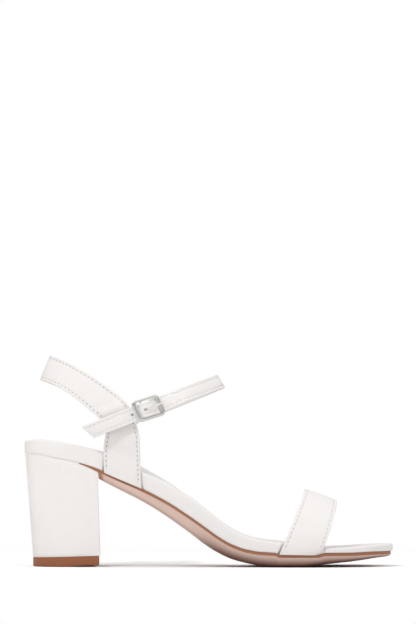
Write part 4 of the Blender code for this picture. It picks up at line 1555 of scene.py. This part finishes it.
def build_frame(metal, rail, side_bar):
    """The buckle's frame: rounded bars, wider at its two sides, with painted shade and dark reflection on
    its inner edge.
    """
    place = np.array((FRAME_BACK, FRAME_FRONT, FRAME_FRONT, FRAME_BACK))
    corners = on_ankle(place, frame_out(place), frame_across(place))
    flat = unit(np.cross(corners[1] - corners[0], corners[3] - corners[0]))
    path = corner_arcs(corners, FRAME_CORNER, True)
    inward = unit(np.cross(flat, np.roll(path, -1, axis=0) - np.roll(path, 1, axis=0)))
    thinner = np.linspace(side_bar, rail, len(path) // 4)
    width = np.concatenate((thinner, thinner[::-1], thinner, thinner[::-1]))
    angle = full_turn(32)
    sections = path[:, None] + rail * np.cos(angle)[:, None] * flat
    sections = sections + width[:, None, None] * np.sin(angle)[:, None] * inward[:, None]
    # Painted shade and dark reflection, strongest on the right and lower bars.
    painted_dark = FRAME_SHADE_LEAST + (1.0 - FRAME_SHADE_LEAST) * np.clip(inward @ FRAME_SHADE_WAY, 0.0, 1.0)
    inner = painted_dark[:, None] * ramp(np.sin(angle), *FRAME_SHADE_EDGE)
    return skin("buckle_wire_frame", sections, [metal], ring=True, marks={"inner": inner})


def build_buckle(colours, sizes):
    """The buckle's frame with its dropped hinge bar, the prong, and the folded tab that holds them."""
    metal = polished_nickel(colours)
    frame_bars = build_frame(metal, sizes.frame_radius / MM, sizes.frame_side / MM)
    seat(frame_bars, "polished_nickel", "buckle_frame")

    rail = frame_out(HINGE_PLACE)
    drop = np.array((rail, HINGE_OUT, HINGE_OUT, rail))
    run = corner_arcs(on_ankle(HINGE_PLACE, drop, frame_across(HINGE_PLACE)), HINGE_CORNER, False)
    mesh = path_mesh("hinge_line", [(run, np.zeros(3), False)])
    bar = wire_tree().grow("buckle_hinge_bar", mesh, Radius=sizes.hinge_radius, Material=metal)
    seat(bar, "polished_nickel")

    place, out = joined(round_hinge(*PRONG_CURL), steps_of(PRONG, SECTIONS["prong"]))
    narrowing = np.concatenate((np.linspace(1.0, PRONG_NARROW, SECTIONS["point"]), PRONG_POINT))
    taper = np.append(np.ones(len(place) - len(narrowing)), narrowing)
    prong = strip("buckle_tongue", place, out, PRONG_HALF, PRONG_WALL, [satin_nickel(colours)], taper)
    seat(prong, "polished_nickel", "buckle_prong")

    place, out = joined(steps_of(TAB_IN, SECTIONS["tab_in"]), round_hinge(*TAB_CURL),
                        steps_of(TAB_BACK, SECTIONS["tab_back"]))
    wall = sizes.tab_wall / MM
    tab = strip("buckle_tab_leather", place, out, TAB_HALF, wall, [white_leather(colours)])
    cut_holes(tab, SHARP, punch(PUNCHES["tab_slot"], SLOT_HALF, colours))
    return seat(tab, "white_leather", "buckle_tab")


# Soft boxes: place and aim in metres, size, and the spread of the beam in degrees.
LIGHTS = {
    "heel": ((-1.05, -0.95, 0.10), (-0.100, -0.03, 0.052), 0.06, 4.5),
    "right": ((1.2, -0.5, 1.1), (0.0, 0.0, 0.06), 1.0, 180.0),
    "key": ((-0.60, -0.95, 1.25), (0.0, 0.0, 0.06), 0.12, 180.0),
    "buckle": ((-0.15, -1.3, 0.45), (-0.037, -0.038, 0.100), 0.03, 1.6),
}

# Where the room's light changes from its low to its high level, in heights of a ray.
ROOM_RISE = (-0.15, 0.90)
SHEEN_RISE = (0.15, 0.55)

# How far out the floor fades to white, and how far it lies under the shoe, in metres.
FLOOR_FADE = (0.20, 0.70)
FLOOR_DROP = 0.00005

WHITE = (1.0, 1.0, 1.0, 1.0)


def look_at(thing, place, aim):
    """Put a light or a camera at a place, with its front towards a point."""
    made = bpy.data.objects.new(thing.name, thing)
    made.location = place
    made.rotation_euler = (Vector(aim) - Vector(place)).to_track_quat("-Z", "Y").to_euler()
    bpy.context.scene.collection.objects.link(made)
    return made


def area_light(name, place, aim, size, spread, power):
    """A square soft box that faces a point, with its beam's spread in degrees."""
    light = bpy.data.lights.new(name, "AREA")
    light.size = size
    light.spread = np.radians(spread)
    light.energy = power
    look_at(light, place, aim).visible_glossy = False


def build_world(stage):
    """Soft white surroundings: pure white to the camera, brighter overhead, darker in reflections."""
    world = bpy.data.worlds.new("soft_white_room")
    world.use_nodes = True
    tree = world.node_tree
    tree.nodes.clear()
    node = Wire(tree).node
    way = node("ShaderNodeTexCoord", output="Generated")
    height = node("ShaderNodeSeparateXYZ", None, {0: way}, "Z")
    glow = stage.room_low + height.step(*ROOM_RISE) * (stage.room_high - stage.room_low)
    sheen = stage.sheen_low + height.step(*SHEEN_RISE) * (stage.sheen_high - stage.sheen_low)
    glow = glow + node("ShaderNodeLightPath", output="Is Glossy Ray") * (sheen - glow)
    seen = node("ShaderNodeBackground", None, {"Color": WHITE, "Strength": 1.0})
    lit = node("ShaderNodeBackground", None, {"Color": tone(stage.room_tint), "Strength": glow})
    camera_ray = node("ShaderNodeLightPath", output="Is Camera Ray")
    both = node("ShaderNodeMixShader", None, {0: camera_ray, 1: lit, 2: seen})
    tree.links.new(both.socket, tree.nodes.new("ShaderNodeOutputWorld").inputs["Surface"])
    bpy.context.scene.world = world


def build_floor(stage):
    """A pale floor that fades to white, and throws back less light than the camera sees on it."""
    finish = Finish("pale_floor", roughness=0.9)
    finish.shader.inputs["Specular IOR Level"].default_value = 0.1
    level = stage.floor_gain
    colour = (finish.noise(8.0) * 0.5).shades(stage.floor_tone, level, 0.985 * level)
    dimmer = finish.node("ShaderNodeBsdfDiffuse", None, {"Color": tone(stage.floor_bounce)})
    white = finish.node("ShaderNodeEmission", None, {"Color": WHITE, "Strength": 1.0})
    away = finish.node("ShaderNodeVectorMath", {"operation": "LENGTH"}, {0: finish.place}, "Value")
    near = Wire(finish.tree, finish.shader.outputs[0])
    shown = finish.node("ShaderNodeMixShader", None, {0: away.step(*FLOOR_FADE), 1: near, 2: white})
    camera_ray = finish.node("ShaderNodeLightPath", output="Is Camera Ray")
    both = finish.node("ShaderNodeMixShader", None, {0: camera_ray, 1: dimmer, 2: shown})
    finish.tree.links.new(both.socket, finish.tree.nodes["Material Output"].inputs["Surface"])
    half = 0.5 * stage.floor_size
    corners = [(-half, -half, 0.0), (half, -half, 0.0), (half, half, 0.0), (-half, half, 0.0)]
    mesh = bpy.data.meshes.new("floor")
    mesh.from_pydata(corners, [], [(0, 1, 2, 3)])
    floor = new_object("floor", mesh, [finish.paint(colour)])
    floor.location.z = -FLOOR_DROP


def build_camera(stage):
    """A long lens square to the outer side, low over the floor."""
    camera = bpy.data.cameras.new("side_camera")
    camera.sensor_fit = "VERTICAL"
    camera.sensor_height = 36.0
    camera.lens = camera.sensor_height * stage.camera_distance / stage.view_height
    camera.clip_end = 50.0
    place = (stage.view_x, -stage.camera_distance, stage.camera_height)
    bpy.context.scene.camera = look_at(camera, place, (stage.view_x, 0.0, stage.aim_height))


def build_stage(stage):
    """Room, floor, camera and lights, with colours shown as they are."""
    build_world(stage)
    build_floor(stage)
    build_camera(stage)
    for name, box in LIGHTS.items():
        area_light(name + "_box", *box, getattr(stage, name + "_power"))
    view = bpy.context.scene.view_settings
    view.view_transform = "Standard"
    view.look = "None"
    view.exposure = 0.0
    view.gamma = 1.0


def length(label, description, default):
    """A setting in metres."""
    return bpy.props.FloatProperty(name=label, description=description, default=default, min=0.0,
                                   precision=5, subtype="DISTANCE", unit="LENGTH")


def colour(label, description, default):
    """A colour setting."""
    return bpy.props.FloatVectorProperty(name=label, description=description, default=default, size=3,
                                         min=0.0, max=1.0, subtype="COLOR")


def amount(label, description, default):
    """A setting without a unit."""
    return bpy.props.FloatProperty(name=label, description=description, default=default, min=0.0)


def power(label, description, default):
    """A setting in watts."""
    return bpy.props.FloatProperty(name=label, description=description, default=default, min=0.0,
                                   precision=4, unit="POWER")


class SandalSizes(bpy.types.PropertyGroup):
    """Thicknesses of the leather and sizes of thread and wire."""

    strap_wall: length("Strap wall", "Thickness of the toe and heel straps with their lining", 0.0018)
    ankle_wall: length("Ankle strap wall", "Thickness of the ankle strap", 0.0014)
    tab_wall: length("Tab wall", "Thickness of the folded tab's leather", 0.0007)
    stitch_pitch: length("Stitch pitch", "Distance from one stitch to the next", 0.0030)
    stitch_inset: length("Stitch inset", "Distance of a stitch line from the strap's edge", 0.0019)
    stitch_length: length("Stitch length", "Length of the thread that shows in one stitch", 0.0023)
    thread_radius: length("Thread radius", "Half the thread's thickness", 0.00021)
    thread_rise: length("Thread rise", "How far a stitch bows out of the leather", 0.00014)
    pit_radius: length("Needle pit radius", "Half the width of the dent between two stitches", 0.00037)
    fine_pit_radius: length("Fine pit radius", "The same on the toe strap and the ankle strap", 0.00028)
    pit_depth: length("Needle pit depth", "Thickness of the disc that stands for a needle hole", 0.00006)
    frame_radius: length("Frame rail radius", "Half the thickness of the buckle's frame", 0.00095)
    frame_side: length("Frame side bar", "Half the width of the frame's two side bars", 0.0016)
    hinge_radius: length("Hinge bar radius", "Half the thickness of the buckle's hinge bar", 0.00055)


class SandalColours(bpy.types.PropertyGroup):
    """Colours of the leather, sole, thread and metal."""

    leather: colour("Leather", "White face leather", (0.855, 0.832, 0.822))
    # Leather shade: worn edges, and painted shade in the pressed stitch grooves.
    leather_wear_and_shade: colour("Leather shade", "Worn edges and pressed seams", (0.62, 0.59, 0.56))
    grime: colour("Grime", "Dark line in the seams beside the straps", (0.10, 0.085, 0.078))
    lining: colour("Lining", "Lining leather on the inner side of the straps", (0.82, 0.79, 0.76))
    thread: colour("Thread", "Stitching thread", (0.86, 0.84, 0.82))
    # Needle pits: painted shade of the needle holes and the punched holes.
    pit: colour("Needle pits", "Dents where the needle went in", (0.11, 0.10, 0.095))
    sock: colour("Sock", "Leather on top of the insole", (0.82, 0.80, 0.78))
    sole: colour("Sole", "Pinkish tan face of the outsole", (0.725, 0.535, 0.46))
    # Dark colour of the underside, also painted as shade on the lower face near the floor.
    sole_underside_and_floor_shade: colour("Sole underside", "Underside and lower face of the outsole", (0.20, 0.088, 0.064))
    sole_edge: colour("Sole edge", "Brown band along the outsole's upper edge", (0.36, 0.150, 0.075))
    tip: colour("Heel tip", "Brown top piece under the heel", (0.285, 0.097, 0.040))
    metal: colour("Buckle metal", "Polished nickel plate", (0.80, 0.795, 0.79))
    # Buckle edge: painted shade and dark reflection on the frame's inner edge.
    metal_painted_shade: colour("Buckle edge", "Tarnished inner edge of the buckle's frame", (0.16, 0.155, 0.15))
    prong: colour("Prong metal", "Satin nickel of the buckle's tongue", (0.86, 0.85, 0.84))


class SandalStage(bpy.types.PropertyGroup):
    """Floor, light and camera."""

    camera_distance: length("Camera distance", "From the shoe's middle plane to the camera", 2.2)
    camera_height: length("Camera height", "Height of the camera over the floor", 0.060)
    aim_height: length("Aim height", "Height of the point that the camera looks at", 0.1624)
    view_height: length("View height", "Height of the frame at the shoe", 0.3994)
    view_x: bpy.props.FloatProperty(
        name="View place", description="Where the camera stands along the shoe", default=-0.0005,
        precision=5, subtype="DISTANCE", unit="LENGTH")
    floor_size: length("Floor size", "Side of the square floor", 14.0)
    floor_tone: colour("Floor tone", "Colour of the pale floor", (0.95, 0.95, 0.95))
    floor_gain: amount("Floor gain", "How much brighter the camera sees the floor", 1.18)
    floor_bounce: colour("Floor bounce", "Light that the floor throws back", (0.82, 0.81, 0.80))
    room_tint: colour("Room tint", "Colour of the light that the room gives", (1.0, 0.99, 0.985))
    room_low: amount("Room light, low", "Brightness of the room near the floor", 0.835)
    room_high: amount("Room light, high", "Brightness of the room overhead", 0.64)
    sheen_low: amount("Reflected room, low", "The same near the floor in reflections", 0.45)
    sheen_high: amount("Reflected room, high", "The same overhead in reflections", 1.2)
    heel_power: power("Heel light", "Power of the narrow beam on the heel", 0.0016)
    buckle_power: power("Buckle light", "Power of the narrow beam on the buckle", 0.0035)
    right_power: power("Right light", "Power of the soft box on the right", 4.2)
    key_power: power("Key light", "Power of the small box that draws shadows", 8.2)


class SANDAL_OT_insole(bpy.types.Operator):
    """Build the wrapped insole with its rolled edge"""

    bl_idname = "sandal.insole"
    bl_label = "Insole"

    def execute(self, context):
        build_insole(context.scene.sandal_colours)
        return {"FINISHED"}


class SANDAL_OT_outsole(bpy.types.Operator):
    """Build the moulded outsole with its brown edge band"""

    bl_idname = "sandal.outsole"
    bl_label = "Outsole"

    def execute(self, context):
        build_outsole(context.scene.sandal_colours)
        return {"FINISHED"}


class SANDAL_OT_heel(bpy.types.Operator):
    """Build the covered heel and its top piece"""

    bl_idname = "sandal.heel"
    bl_label = "Heel"

    def execute(self, context):
        build_heel(context.scene.sandal_colours)
        return {"FINISHED"}


class SANDAL_OT_straps(bpy.types.Operator):
    """Build the toe strap, the heel strap and the ankle strap"""

    bl_idname = "sandal.straps"
    bl_label = "Straps"

    def execute(self, context):
        build_toe_strap(context.scene.sandal_colours, context.scene.sandal_sizes)
        build_heel_and_ankle_strap(context.scene.sandal_colours, context.scene.sandal_sizes)
        return {"FINISHED"}


class SANDAL_OT_stitching(bpy.types.Operator):
    """Sew the stitch lines along the straps"""

    bl_idname = "sandal.stitching"
    bl_label = "Stitching"

    def execute(self, context):
        build_stitching(context.scene.sandal_colours, context.scene.sandal_sizes)
        return {"FINISHED"}


class SANDAL_OT_buckle(bpy.types.Operator):
    """Build the buckle's frame, hinge bar and tongue, and its folded tab"""

    bl_idname = "sandal.buckle"
    bl_label = "Buckle"

    def execute(self, context):
        build_buckle(context.scene.sandal_colours, context.scene.sandal_sizes)
        return {"FINISHED"}


class SANDAL_OT_stage(bpy.types.Operator):
    """Set the pale floor, the soft light and the camera"""

    bl_idname = "sandal.stage"
    bl_label = "Stage"

    def execute(self, context):
        build_stage(context.scene.sandal_stage)
        return {"FINISHED"}


OPERATORS = (SANDAL_OT_insole, SANDAL_OT_outsole, SANDAL_OT_heel, SANDAL_OT_straps, SANDAL_OT_stitching,
             SANDAL_OT_buckle, SANDAL_OT_stage)
GROUPS = {"sandal_sizes": SandalSizes, "sandal_colours": SandalColours, "sandal_stage": SandalStage}


class SANDAL_PT_panel(bpy.types.Panel):
    """Lists the sandal's sizes, colours and pieces"""

    bl_idname = "SANDAL_PT_panel"
    bl_label = "Ankle strap block heel"
    bl_space_type = "VIEW_3D"
    bl_region_type = "UI"
    bl_category = "Sandal"

    def draw(self, context):
        for name, group in GROUPS.items():
            box = self.layout.box()
            for setting in group.__annotations__:
                box.prop(getattr(context.scene, name), setting)
        for operator in OPERATORS:
            self.layout.operator(operator.bl_idname)


def register():
    for made in (*GROUPS.values(), *OPERATORS, SANDAL_PT_panel):
        bpy.utils.register_class(made)
    for name, group in GROUPS.items():
        setattr(bpy.types.Scene, name, bpy.props.PointerProperty(type=group))


def unregister():
    for name in GROUPS:
        delattr(bpy.types.Scene, name)
    for made in (SANDAL_PT_panel, *reversed(OPERATORS), *reversed(list(GROUPS.values()))):
        bpy.utils.unregister_class(made)


def main():
    register()
    bpy.ops.sandal.insole()
    bpy.ops.sandal.outsole()
    bpy.ops.sandal.heel()
    bpy.ops.sandal.straps()
    bpy.ops.sandal.stitching()
    bpy.ops.sandal.buckle()
    bpy.ops.sandal.stage()


if __name__ == "__main__":
    main()
